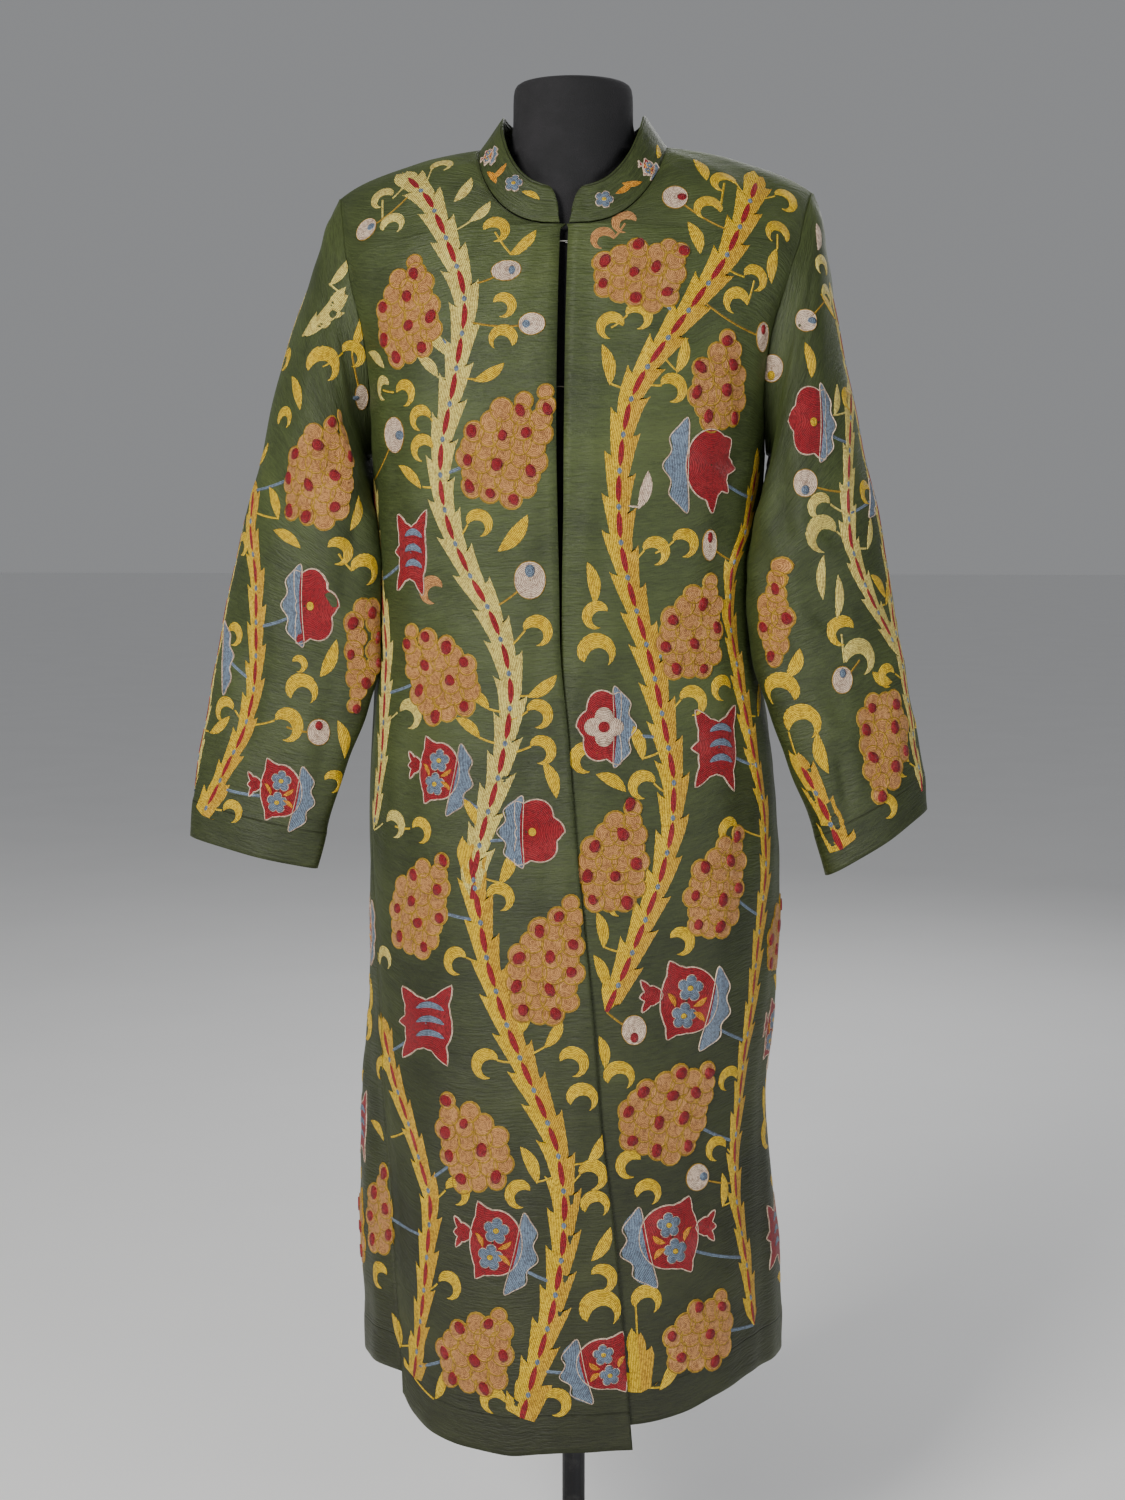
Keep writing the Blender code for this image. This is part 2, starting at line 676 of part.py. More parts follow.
def collar_rows():
    """Points of the collar band, from the neck seam up, around from edge to edge."""
    feet = neck_seam_half(1) + list(reversed(neck_seam_half(-1)))[1:]
    lengths = [0.0]
    for one, two in zip(feet, feet[1:]):
        lengths.append(lengths[-1] + (two - one).length)
    rows = [[] for _ in range(COLLAR_ROWS + 1)]
    for foot, length in zip(feet, lengths):
        from_end = min(length, lengths[-1] - length)
        height = collar_height(foot, from_end)
        lean = height / COLLAR_FRONT_HEIGHT
        depth_ratio = COLLAR_TOP_FRONT / NECK_FRONT if foot.y < 0 else COLLAR_TOP_BACK / NECK_BACK
        top = Vector((foot.x * (1 + (COLLAR_TOP_HALF_WIDTH / NECK_HALF_WIDTH - 1) * lean),
                      foot.y * (1 + (depth_ratio - 1) * lean), foot.z + height))
        spread_out = COLLAR_TOP_SPREAD * max(1.0 - from_end / COLLAR_SPREAD_LENGTH, 0.0)
        top.x += math.copysign(spread_out, foot.x)
        for row in range(COLLAR_ROWS + 1):
            rows[row].append(foot.lerp(top, row / COLLAR_ROWS))
    return rows


def robe_depth(x, z, back):
    """How far in front of or behind the shoulder line the robe's middle lies."""
    share = (z - UNDERARM_Z) / (ridge_height(x) - UNDERARM_Z)
    if share >= 1.0:
        return 0.0
    fullness = BACK_FULLNESS if back else FRONT_FULLNESS
    climb = math.asin(share ** (fullness / 2.0))
    rise = math.degrees(climb)
    squareness = smooth(RISES, "squareness", rise)
    part = abs(x - smooth(RISES, "shift", rise)) / smooth(RISES, "half_width", rise)
    if part >= 1.0:
        return 0.0
    at_underarm = SECTIONS[-1]
    depth = at_underarm.back if back else at_underarm.front
    return depth * (1.0 - part ** squareness) ** (1.0 / squareness) * math.cos(climb) ** (2.0 / fullness)


def form_outline(turn, half_width, front, back, squareness, with_neck):
    """Point of a form ring in plan, joined smoothly with the neck where it applies."""
    direction = Vector((math.sin(turn), -math.cos(turn), 0.0))
    depth = front if direction.y < 0 else back
    shoulder = ((abs(direction.x) / half_width) ** squareness
                + (abs(direction.y) / depth) ** squareness) ** (-1.0 / squareness)
    if not with_neck:
        return direction * shoulder
    along = direction.y * NECK_SETBACK
    neck = along + math.sqrt(max(along ** 2 + NECK_RADIUS ** 2 - NECK_SETBACK ** 2, 0.0))
    joined = (shoulder ** NECK_BLEND_POWER + neck ** NECK_BLEND_POWER) ** (1.0 / NECK_BLEND_POWER)
    return direction * joined


def seat_in_robe(point):
    """Keep a point of the form under the robe's cloth, which rests on its shoulders."""
    from_neck = math.hypot(point.x, point.y - NECK_SETBACK)
    if point.z < UNDERARM_Z + FORM_SEAT or from_neck < NECK_RADIUS + FORM_NECK_CLEAR:
        return point
    back = point.y > 0
    limit = robe_depth(point.x, point.z + FORM_SEAT, back) - FORM_SIDE_CLEAR
    kept = max(min(abs(point.y), limit), 0.0)
    return Vector((point.x, math.copysign(kept, point.y), point.z))


def form_rings():
    """Rings of the dress form from its flat bottom to the flat top of its neck."""
    turns = [math.tau * step / FORM_SIDES for step in range(FORM_SIDES)]
    levels = list(FORM)
    widest = FORM[-1]
    for reach in FORM_SHOULDER_REACHES:
        share = reach / widest.half_width
        levels.append(FormRing(ridge_height(reach) - FORM_SEAT, reach, widest.front * share ** 0.8,
                               widest.back * share ** 0.8, widest.squareness))
    rings = []
    for row in levels:
        with_neck = row.height > FORM_NECK_STARTS_Z
        ring = []
        for turn in turns:
            flat = form_outline(turn, row.half_width, row.front, row.back, row.squareness, with_neck)
            ring.append(seat_in_robe(flat + Vector((0, 0, row.height))))
        rings.append(ring)
    for height, inset in NECK_EDGES:
        radius = NECK_RADIUS - inset
        rings.append([Vector((radius * math.sin(turn), NECK_SETBACK - radius * math.cos(turn), height))
                      for turn in turns])
    return rings


def surface_material(name, finish):
    """Make a plain material."""
    material = bpy.data.materials.new(name)
    material.use_nodes = True
    shader = material.node_tree.nodes["Principled BSDF"]
    shader.inputs["Base Color"].default_value = (*finish.colour, 1.0)
    shader.inputs["Roughness"].default_value = finish.roughness
    shader.inputs["Metallic"].default_value = finish.metallic
    return material


def mesh_object(name, mesh_builder, collection, finish):
    """Add an object whose mesh is left by a function in a bmesh."""
    mesh = bpy.data.meshes.new(name)
    shape = bmesh.new()
    mesh_builder(shape)
    bmesh.ops.recalc_face_normals(shape, faces=shape.faces)
    shape.to_mesh(mesh)
    shape.free()
    mesh.shade_smooth()
    mesh.materials.append(surface_material(name, finish))
    item = bpy.data.objects.new(name, mesh)
    collection.objects.link(item)
    return item


def add_grid(shape, rows, around=False):
    """Join rows of points with faces, also from the last point of a row to its first."""
    grid = [[shape.verts.new(point) for point in row] for row in rows]
    for low, high in zip(grid, grid[1:]):
        count = len(low) if around else len(low) - 1
        for column in range(count):
            after = (column + 1) % len(low)
            shape.faces.new((low[column], low[after], high[after], high[column]))
    return grid


def cloth(name, patches, collection, around=False):
    """Make a cloth piece with a wall from one or more open grids."""
    def build(shape):
        for rows in patches:
            add_grid(shape, rows, around)
        bmesh.ops.remove_doubles(shape, verts=shape.verts, dist=1e-6)

    item = mesh_object(name, build, collection, SILK)
    wall = item.modifiers.new("Wall", "SOLIDIFY")
    wall.thickness = WALL
    wall.offset = 0.0
    return item


def dress_form(collection):
    """Make the closed torso and neck."""
    def build(shape):
        grid = add_grid(shape, form_rings(), around=True)
        shape.faces.new(grid[0])
        shape.faces.new(grid[-1])

    return mesh_object("form_body", build, collection, VELVET)


def disc(name, radius, low, high, rounding, collection, sides=48):
    """Make an upright round piece with a rounded upper edge."""
    def build(shape):
        bmesh.ops.create_cone(shape, cap_ends=True, segments=sides, radius1=radius, radius2=radius,
                              depth=high - low)

    item = mesh_object(name, build, collection, STAND_METAL)
    item.location.z = (low + high) / 2
    edge = item.modifiers.new("Rounded edge", "BEVEL")
    edge.width = rounding
    edge.segments = 2
    edge.limit_method = "ANGLE"
    edge.angle_limit = math.radians(40)
    return item


def wire(name, points, collection):
    """Make a closed wire along points."""
    curve = bpy.data.curves.new(name, "CURVE")
    curve.dimensions = "3D"
    curve.bevel_depth = WIRE_RADIUS
    curve.bevel_resolution = 2
    curve.use_fill_caps = True
    line = curve.splines.new("POLY")
    line.points.add(len(points) - 1)
    for target, point in zip(line.points, points):
        target.co = (*point, 1.0)
    curve.materials.append(surface_material(name, HOOK_METAL))
    item = bpy.data.objects.new(name, curve)
    collection.objects.link(item)
    return item


def front_frame(z):
    """Middle of the front at a height: the point, its outward and its upward direction."""
    def middle(height):
        if height <= UNDERARM_Z:
            return skirt_point(angle_at_x(0.0, height), height)
        share = (height - UNDERARM_Z) / (ridge_height(0.0) - UNDERARM_Z)
        rise = math.degrees(math.asin(share ** (FRONT_FULLNESS / 2.0)))
        return yoke_point(yoke_angle_at_x(0.0, rise), rise)

    up = (middle(z + 0.004) - middle(z - 0.004)).normalized()
    outward = Vector((1.0, 0.0, 0.0)).cross(up).normalized()
    return middle(z), outward, up


def fastener(number, z, collection):
    """Make one hook on the right front and the eye it holds on the left front."""
    middle, outward, up = front_frame(z)
    rest = HALF_WALL + SEAM + WIRE_CLEAR + WIRE_RADIUS + LAP_SHIFT * lap_share(0.0, z)
    bend = 2 * WIRE_RADIUS + WIRE_CLEAR + FRONT_WIRE_CLEAR
    bar = rest + bend

    def place(x, depth, along=0.0):
        return middle + Vector((x, 0, 0)) - outward * depth + up * along

    hook = [place(HOOK_SHANK_X, rest), place(HOOK_SHANK_X / 3, rest), place(HOOK_BEND_X, rest)]
    for turn in spread(0.0, math.pi, 6)[1:]:
        hook.append(place(HOOK_BEND_X + bend * math.sin(turn), rest + bend * (1 - math.cos(turn))))
    hook.append(place(HOOK_TIP_X, rest + 2 * bend))
    wire(f"hook_{number}", hook, collection)
    upper = [place(EYE_SHANK_X, rest, EYE_HALF_HEIGHT), place(EYE_RISE_X, bar, EYE_HALF_HEIGHT),
             place(EYE_CORNER_X, bar, EYE_HALF_HEIGHT), place(HOOK_BEND_X, bar, EYE_BAR_HALF_HEIGHT)]
    lower = [place(HOOK_BEND_X, bar, -EYE_BAR_HALF_HEIGHT), place(EYE_CORNER_X, bar, -EYE_HALF_HEIGHT),
             place(EYE_RISE_X, bar, -EYE_HALF_HEIGHT), place(EYE_SHANK_X, rest, -EYE_HALF_HEIGHT)]
    wire(f"eye_{number}", upper + lower, collection)


def clear_scene():
    """Remove whatever the file held."""
    for item in list(bpy.data.objects):
        bpy.data.objects.remove(item, do_unlink=True)


def build_robe(collection):
    """Build the cloth pieces."""
    cloth("right_front", [front_rows(-1)], collection)
    cloth("left_front", [front_rows(1)], collection)
    cloth("back", [back_rows(-1), back_rows(1)], collection)
    cloth("right_sleeve", [sleeve_rings(-1, RIGHT_SLEEVE)], collection, around=True)
    cloth("left_sleeve", [sleeve_rings(1, LEFT_SLEEVE)], collection, around=True)
    cloth("collar", [collar_rows()], collection)


def build_stand(collection):
    """Build the dress form and what it stands on."""
    dress_form(collection)
    disc("stand_base", BASE_RADIUS, 0.0, BASE_THICKNESS, 0.003, collection)
    hub_low = BASE_THICKNESS + SEAM
    hub_high = hub_low + HUB_HEIGHT
    disc("stand_hub", HUB_RADIUS, hub_low, hub_high, 0.004, collection, 32)
    socket_high = FORM_BOTTOM_Z - SEAM
    socket_low = socket_high - SOCKET_HEIGHT
    disc("form_socket", SOCKET_RADIUS, socket_low, socket_high, 0.003, collection, 32)
    disc("stand_pole", POLE_RADIUS, hub_high + SEAM, socket_low - SEAM, 0.001, collection, 24)


def main():
    """Build the robe, its fasteners and the dress form."""
    clear_scene()
    collection = bpy.data.collections.new("chapan_robe_on_dress_form")
    bpy.context.scene.collection.children.link(collection)
    build_robe(collection)
    build_stand(collection)
    for number, level in enumerate(HOOK_LEVELS, start=1):
        fastener(number, level, collection)


main()
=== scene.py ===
"""Looks of an embroidered chapan robe on a limbless dress form.

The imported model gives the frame. Metres, +Z up. The robe faces -Y and the wearer's left
arm is at +X, so the photograph's left side is the wearer's right one. Every cloth piece is
cut again here, finer, from the same sizes, and dressed with folds, silk and embroidery.
Places on the robe are given as pixels of the 1125 x 1500 photograph.
"""
import sys
import logging
import math
from dataclasses import dataclass, field
from enum import Enum
from typing import Callable, Iterator, NamedTuple, Optional, Sequence

import bmesh
import bpy
import numpy as np
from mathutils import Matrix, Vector
from mathutils.bvhtree import BVHTree


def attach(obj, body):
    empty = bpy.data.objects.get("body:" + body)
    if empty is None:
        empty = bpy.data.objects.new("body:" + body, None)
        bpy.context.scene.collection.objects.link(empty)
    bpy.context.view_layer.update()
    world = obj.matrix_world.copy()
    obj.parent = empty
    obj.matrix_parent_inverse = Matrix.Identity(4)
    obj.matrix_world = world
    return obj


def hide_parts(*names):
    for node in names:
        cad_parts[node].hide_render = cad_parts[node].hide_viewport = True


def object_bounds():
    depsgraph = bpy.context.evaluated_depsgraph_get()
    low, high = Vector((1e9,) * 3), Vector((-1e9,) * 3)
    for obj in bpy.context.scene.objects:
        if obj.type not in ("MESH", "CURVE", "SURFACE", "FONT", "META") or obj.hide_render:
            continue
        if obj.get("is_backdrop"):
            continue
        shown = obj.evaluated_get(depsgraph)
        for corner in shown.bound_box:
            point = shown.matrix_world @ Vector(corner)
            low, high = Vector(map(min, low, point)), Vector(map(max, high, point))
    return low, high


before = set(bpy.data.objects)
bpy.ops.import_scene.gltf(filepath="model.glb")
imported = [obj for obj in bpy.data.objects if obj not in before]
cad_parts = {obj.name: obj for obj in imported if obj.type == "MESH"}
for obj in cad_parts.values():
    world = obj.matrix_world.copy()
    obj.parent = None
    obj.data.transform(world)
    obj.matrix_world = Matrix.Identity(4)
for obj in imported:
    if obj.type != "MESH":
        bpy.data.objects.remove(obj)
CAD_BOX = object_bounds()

LOG = logging.getLogger("chapan")
Array = np.ndarray

# Cloth
WALL = 0.002
HALF_WALL = WALL / 2
SEAM = 0.0003
SEAM_HALF = 0.00012
NECK_TUCK = 0.45
SLEEVE_CLEAR = 0.0034
SLEEVE_SEAM = 0.0006
UNDERARM_SEAM = 0.0017
SHOULDER_HALF_GAP = 0.00015

# Heights of the robe's main levels
UNDERARM_Z = 1.100
FRONT_EDGE_CLOSED_Z = 0.935
LAP_OPEN_Z = 1.010
FOLDS_FULL_Z = 0.30
HEM_START_Z = 0.240
HEM_PASSES = 4
HEM_BAND = 0.034
HEM_STEP = 0.0006

# Neck seam, in plan, and the collar over it
NECK_HALF_WIDTH = 0.084
NECK_FRONT = 0.084
NECK_BACK = 0.062
NECK_SQUARENESS = 3.0
NEARLY_SHOULDER = 89.0
HALVINGS = 40
COLLAR_TOP_HALF_WIDTH = 0.0605
COLLAR_TOP_FRONT = 0.072
COLLAR_TOP_BACK = 0.055
COLLAR_FRONT_HEIGHT = 0.033
COLLAR_SIDE_HEIGHT = 0.029
COLLAR_BACK_HEIGHT = 0.034
COLLAR_CORNER = 0.020
COLLAR_END_HEIGHT = 0.014
COLLAR_HALF_GAP = 0.0042
CENTRE_X = -0.0017
COLLAR_TOP_SPREAD = 0.0035
COLLAR_SPREAD_LENGTH = 0.030

# How the fronts and the back round over from chest to shoulder
FRONT_FULLNESS = 1.85
BACK_FULLNESS = 2.8

# Lap of the right front over the left one
LAP_SHIFT = 0.0016
LAP_FLAT_X = 0.090
LAP_END_X = 0.150

# Dress form
NECK_RADIUS = 0.054
NECK_SETBACK = -0.012
FORM_SEAT = 0.0034
FORM_SIDE_CLEAR = 0.0030
FORM_NECK_CLEAR = 0.002
FORM_NECK_STARTS_Z = 1.25
NECK_BLEND_POWER = 8.0


def table(kind: type, rows: tuple) -> tuple:
    """Name the columns of a table's rows."""
    return tuple(kind(*row) for row in rows)


class Section(NamedTuple):
    """One level of the robe's body below the underarm."""
    height: float
    half_width: float
    front: float
    back: float
    shift: float
    squareness: float


SECTIONS = table(Section, (
    (0.2, 0.1985, 0.173, 0.17, 0.0, 2.0),
    (0.29, 0.1985, 0.17, 0.168, -0.001, 2.0),
    (0.36, 0.1985, 0.165, 0.164, -0.004, 2.0),
    (0.42, 0.1945, 0.16, 0.16, -0.007, 2.02),
    (0.5, 0.19, 0.155, 0.156, -0.009, 2.05),
    (0.6, 0.191, 0.148, 0.15, -0.002, 2.1),
    (0.7, 0.191, 0.14, 0.142, 0.0, 2.2),
    (0.8, 0.1875, 0.13, 0.132, -0.002, 2.3),
    (0.88, 0.18, 0.122, 0.118, -0.005, 2.35),
    (0.95, 0.1738, 0.118, 0.108, -0.008, 2.4),
    (1.02, 0.1752, 0.122, 0.108, -0.006, 2.5),
    (1.1, 0.178, 0.128, 0.112, -0.004, 2.7),
))


class Rise(NamedTuple):
    """One level curve from the underarm (0 degrees) to the shoulder seam (90)."""
    angle: float
    half_width: float
    shift: float
    squareness: float
    front_armhole: float
    back_armhole: float


RISES = table(Rise, (
    (0.0, 0.178, -0.004, 2.7, 1.0, 1.0),
    (9.5, 0.1787, -0.004, 2.9, 0.988, 0.995),
    (23.5, 0.1877, -0.003, 3.0, 0.957, 0.986),
    (42.7, 0.2117, -0.001, 3.0, 0.928, 0.978),
    (53.0, 0.2165, 0.0, 3.0, 0.942, 0.981),
    (70.0, 0.216, 0.0, 3.0, 0.975, 0.99),
    (90.0, 0.215, 0.0, 3.0, 1.0, 1.0),
))


class Ridge(NamedTuple):
    """Height of the shoulder line at a distance from the middle."""
    reach: float
    height: float


RIDGE = table(Ridge, (
    (0.0, 1.377), (0.05, 1.3765), (0.085, 1.374), (0.128, 1.367), (0.153, 1.3597), (0.182, 1.35), (0.2, 1.342),
    (0.217, 1.331), (0.24, 1.31),
))


class Edge(NamedTuple):
    """Sideways places of the two front edges, and of the two side seams, at a height."""
    height: float
    right_front_x: float
    left_front_x: float
    right_seam: float
    left_seam: float


EDGES = table(Edge, (
    (0.2, 0.067, -0.022, 49.0, 97.0),
    (0.35, 0.055, -0.02, 51.0, 96.0),
    (0.42, 0.048, -0.018, 52.5, 95.0),
    (0.51, 0.0365, -0.016, 56.0, 94.0),
    (0.6, 0.0295, -0.013, 62.0, 93.0),
    (0.74, 0.015, -0.009, 71.0, 92.0),
    (0.85, 0.0055, -0.005, 79.0, 91.0),
    (FRONT_EDGE_CLOSED_Z, -0.0026, -0.0014, 85.0, 90.5),
    (0.985, -0.0033, -0.0007, 88.0, 90.0),
    (1.06, -0.0045, 0.001, 90.0, 90.0),
    (1.15, -0.0052, 0.0018, 90.0, 90.0),
    (1.4, -0.0053, 0.002, 90.0, 90.0),
))


class Hem(NamedTuple):
    """Height of the hem at an angle from the centre front towards a side."""
    angle: float
    right_front: float
    left_front: float
    back: float


HEMS = table(Hem, (
    (-30.0, 0.221, 0.239, 0.255), (0.0, 0.2195, 0.2395, 0.255), (13.0, 0.2145, 0.241, 0.255),
    (24.0, 0.2155, 0.243, 0.256), (34.0, 0.22, 0.247, 0.258), (44.0, 0.229, 0.256, 0.261),
    (51.0, 0.244, 0.26, 0.262), (60.0, 0.246, 0.263, 0.261), (75.0, 0.247, 0.262, 0.258),
    (90.0, 0.248, 0.26, 0.257), (180.0, 0.248, 0.26, 0.255),
))


class Fold(NamedTuple):
    """A soft vertical ridge (positive depth) or valley, angles from the centre front."""
    top_angle: float
    hem_angle: float
    top_z: float
    depth: float
    half_angle: float


FOLDS = table(Fold, (
    (-70.0, -48.0, 0.66, -0.005, 7.0), (-84.0, -62.0, 0.66, 0.002, 9.0), (66.0, 66.0, 0.62, -0.004, 9.0),
    (-12.0, -18.0, 0.55, 0.0022, 12.0), (128.0, 124.0, 0.88, -0.007, 13.0), (150.0, 150.0, 0.92, 0.006, 14.0),
    (176.0, 178.0, 0.88, -0.006, 12.0), (-154.0, -150.0, 0.9, 0.0065, 14.0),
    (-126.0, -122.0, 0.84, -0.007, 13.0),
))


class SleeveRing(NamedTuple):
    """One oval of a sleeve, by its outer and inner ends and its half depth."""
    station: float
    outer_x: float
    outer_y: float
    outer_z: float
    inner_x: float
    inner_y: float
    inner_z: float
    half_depth: float


RIGHT_SLEEVE = table(SleeveRing, (
    (0.0, 0.218, 0.0, 1.33, 0.185, 0.0, 1.1, 0.05),
    (1.0, 0.226, 0.0, 1.312, 0.1915, -0.01, 1.096, 0.052),
    (2.0, 0.2345, -0.001, 1.281, 0.187, -0.024, 1.083, 0.055),
    (3.0, 0.2475, -0.002, 1.24, 0.18, -0.04, 1.062, 0.058),
    (4.0, 0.268, -0.004, 1.174, 0.174, -0.051, 1.034, 0.058),
    (5.0, 0.286, -0.006, 1.098, 0.171, -0.056, 0.998, 0.052),
    (6.0, 0.3055, -0.009, 1.03, 0.173, -0.058, 0.96, 0.044),
    (7.0, 0.322, -0.012, 0.955, 0.174, -0.059, 0.912, 0.036),
    (8.0, 0.3345, -0.016, 0.895, 0.186, -0.059, 0.868, 0.03),
    (9.0, 0.344, -0.02, 0.843, 0.206, -0.058, 0.815, 0.027),
    (10.0, 0.352, -0.025, 0.793, 0.221, -0.058, 0.767, 0.023),
    (11.0, 0.358, -0.03, 0.746, 0.2345, -0.058, 0.721, 0.02),
))

LEFT_SLEEVE = table(SleeveRing, (
    (0.0, 0.218, 0.0, 1.33, 0.1772, 0.0, 1.1, 0.05),
    (1.0, 0.224, 0.001, 1.312, 0.184, -0.01, 1.096, 0.052),
    (2.0, 0.2285, 0.002, 1.281, 0.178, -0.024, 1.083, 0.055),
    (3.0, 0.234, 0.003, 1.24, 0.171, -0.04, 1.062, 0.058),
    (4.0, 0.246, 0.005, 1.174, 0.165, -0.05, 1.034, 0.059),
    (5.0, 0.2615, 0.006, 1.098, 0.162, -0.055, 0.998, 0.056),
    (6.0, 0.2785, 0.007, 1.03, 0.1635, -0.057, 0.96, 0.05),
    (7.0, 0.289, 0.007, 0.962, 0.169, -0.058, 0.912, 0.044),
    (8.0, 0.3, 0.007, 0.905, 0.186, -0.059, 0.864, 0.04),
    (9.0, 0.31, 0.006, 0.858, 0.204, -0.06, 0.815, 0.037),
    (10.0, 0.318, 0.005, 0.816, 0.223, -0.06, 0.768, 0.035),
    (11.0, 0.3235, 0.004, 0.775, 0.237, -0.061, 0.722, 0.033),
))


class FormRing(NamedTuple):
    """One level of the dress form."""
    height: float
    half_width: float
    front: float
    back: float
    squareness: float


FORM = table(FormRing, (
    (0.72, 0.142, 0.092, 0.094, 2.2),
    (0.724, 0.15, 0.099, 0.101, 2.2),
    (0.74, 0.156, 0.103, 0.106, 2.2),
    (0.8, 0.16, 0.106, 0.112, 2.2),
    (0.87, 0.154, 0.1, 0.104, 2.2),
    (0.94, 0.142, 0.093, 0.09, 2.2),
    (1.01, 0.138, 0.093, 0.088, 2.2),
    (1.08, 0.146, 0.104, 0.094, 2.3),
    (1.15, 0.154, 0.112, 0.1, 2.4),
    (1.21, 0.163, 0.104, 0.098, 2.5),
    (1.26, 0.178, 0.088, 0.09, 2.6),
    (1.295, 0.193, 0.074, 0.08, 2.6),
    (1.318, 0.201, 0.062, 0.07, 2.4),
    (1.333, 0.2035, 0.052, 0.062, 2.2),
))
FORM_SHOULDER_REACHES = (0.199, 0.190, 0.178, 0.162, 0.145, 0.125, 0.105, 0.090, 0.076, 0.064)
NECK_EDGES = ((1.384, 0.0), (1.402, 0.0), (1.421, 0.0), (1.4275, 0.0022), (1.430, 0.0080))


def read(table: Sequence[NamedTuple], column: str, at: Array) -> Array:
    """Read a column of a table at values of its first column, smoothly, without overshoot.

    Args:
        table: Rows in rising order of their first column.
        column: Name of the column to read.
        at: Values of the first column.

    Returns:
        The column's values there.
    """
    keys = np.array([row[0] for row in table])
    values = np.array([getattr(row, column) for row in table])
    span = np.diff(keys)
    slope = np.diff(values) / span
    product = slope[1:] * slope[:-1]
    total = np.where(product > 0, slope[1:] + slope[:-1], 1.0)
    joints = np.concatenate(([slope[0]], np.where(product > 0, 2 * product / total, 0.0), [slope[-1]]))
    at = np.clip(np.asarray(at, float), keys[0], keys[-1])
    low = np.clip(np.searchsorted(keys, at) - 1, 0, len(keys) - 2)
    part = (at - keys[low]) / span[low]
    square, cube = part ** 2, part ** 3
    return (values[low] * (2 * cube - 3 * square + 1) + values[low + 1] * (3 * square - 2 * cube)
            + span[low] * (joints[low] * (cube - 2 * square + part) + joints[low + 1] * (cube - square)))


def stack(*parts: Array) -> Array:
    """Points from their coordinates."""
    return np.stack(parts, axis=-1)


def cells(rows: int, columns: int, turned: bool) -> Iterator[list]:
    """Corners of each face of a grid, the other way round where it is turned."""
    for row in range(rows - 1):
        for column in range(columns - 1):
            corners = [(row, column), (row, column + 1), (row + 1, column + 1), (row + 1, column)]
            yield corners[::-1] if turned else corners


def shown(name: str, data: bpy.types.ID) -> bpy.types.Object:
    """Add an object to the scene."""
    added = bpy.data.objects.new(name, data)
    bpy.context.scene.collection.objects.link(added)
    return added


def along_line(steps: Array) -> Array:
    """Lengths from the start of a line, by the points' places."""
    return np.concatenate([[0.0], np.cumsum(np.linalg.norm(np.diff(steps, axis=0), axis=-1))])


def ease(part: Array) -> Array:
    """Rise smoothly from 0 to 1."""
    part = np.clip(part, 0.0, 1.0)
    return part * part * (3 - 2 * part)


def signed_power(value: Array, power: Array) -> Array:
    """Raise the size of a value to a power and keep its sign."""
    return np.sign(value) * np.abs(value) ** power


def unit(vectors: Array) -> Array:
    """Vectors of length 1."""
    return vectors / np.maximum(np.linalg.norm(vectors, axis=-1, keepdims=True), 1e-9)


def ridge_height(x: Array) -> Array:
    """Height of the shoulder line."""
    return read(RIDGE, "height", np.abs(x))


# The photograph's camera

PHOTO_WIDTH = 1125
PHOTO_HEIGHT = 1500
FOCAL_PIXELS = 2150.0
CAMERA_DISTANCE = 2.0
CAMERA_Z = 1.04
CAMERA_TILT = 6.1
CAMERA_AZIMUTH = 5.0
CAMERA_SHIFT = (562.5 - 574.0) * CAMERA_DISTANCE / FOCAL_PIXELS


@dataclass(frozen=True)
class View:
    """A camera round the robe that sees it as the photograph does, from any side."""
    azimuth: float = CAMERA_AZIMUTH

    @property
    def origin(self) -> Array:
        """Place of the camera."""
        turn = math.radians(self.azimuth)
        return np.array([CAMERA_DISTANCE * math.sin(turn) + CAMERA_SHIFT * math.cos(turn),
                         -CAMERA_DISTANCE * math.cos(turn) + CAMERA_SHIFT * math.sin(turn), CAMERA_Z])

    @property
    def axes(self) -> tuple[Array, Array, Array]:
        """Directions to the right, up and forward."""
        turn, tilt = math.radians(self.azimuth), math.radians(CAMERA_TILT)
        right = np.array([math.cos(turn), math.sin(turn), 0.0])
        forward = np.array([-math.sin(turn) * math.cos(tilt), math.cos(turn) * math.cos(tilt),
                            -math.sin(tilt)])
        return right, np.cross(right, forward), forward

    def ray(self, x: float, y: float) -> Array:
        """Direction in which a pixel is seen."""
        right, up, forward = self.axes
        return unit(forward + right * (x - PHOTO_WIDTH / 2) / FOCAL_PIXELS
                    + up * (PHOTO_HEIGHT / 2 - y) / FOCAL_PIXELS)

    def pixels(self, points: Array) -> Array:
        """Pixels at which points are seen."""
        right, up, forward = self.axes
        away = points - self.origin
        depth = away @ forward
        return stack(PHOTO_WIDTH / 2 + FOCAL_PIXELS * (away @ right) / depth,
                     PHOTO_HEIGHT / 2 - FOCAL_PIXELS * (away @ up) / depth)

    def facing(self, points: Array, normals: Array) -> Array:
        """How squarely surfaces face the camera, from -1 to 1."""
        return np.sum(unit(self.origin - points) * normals, axis=-1)


# Materials

def maths(operation: str, swapped: bool = False) -> Callable:
    """Make a method of sockets that adds a Math node.

    Args:
        operation: The node's operation.
        swapped: Whether the other value comes first.

    Returns:
        The method.
    """
    def method(self: "Socket", *other: object) -> "Socket":
        """Add the node."""
        values = (*other, self) if swapped else (self, *other)
        return self.tree.node("ShaderNodeMath", {"operation": operation}, dict(enumerate(values)))
    return method


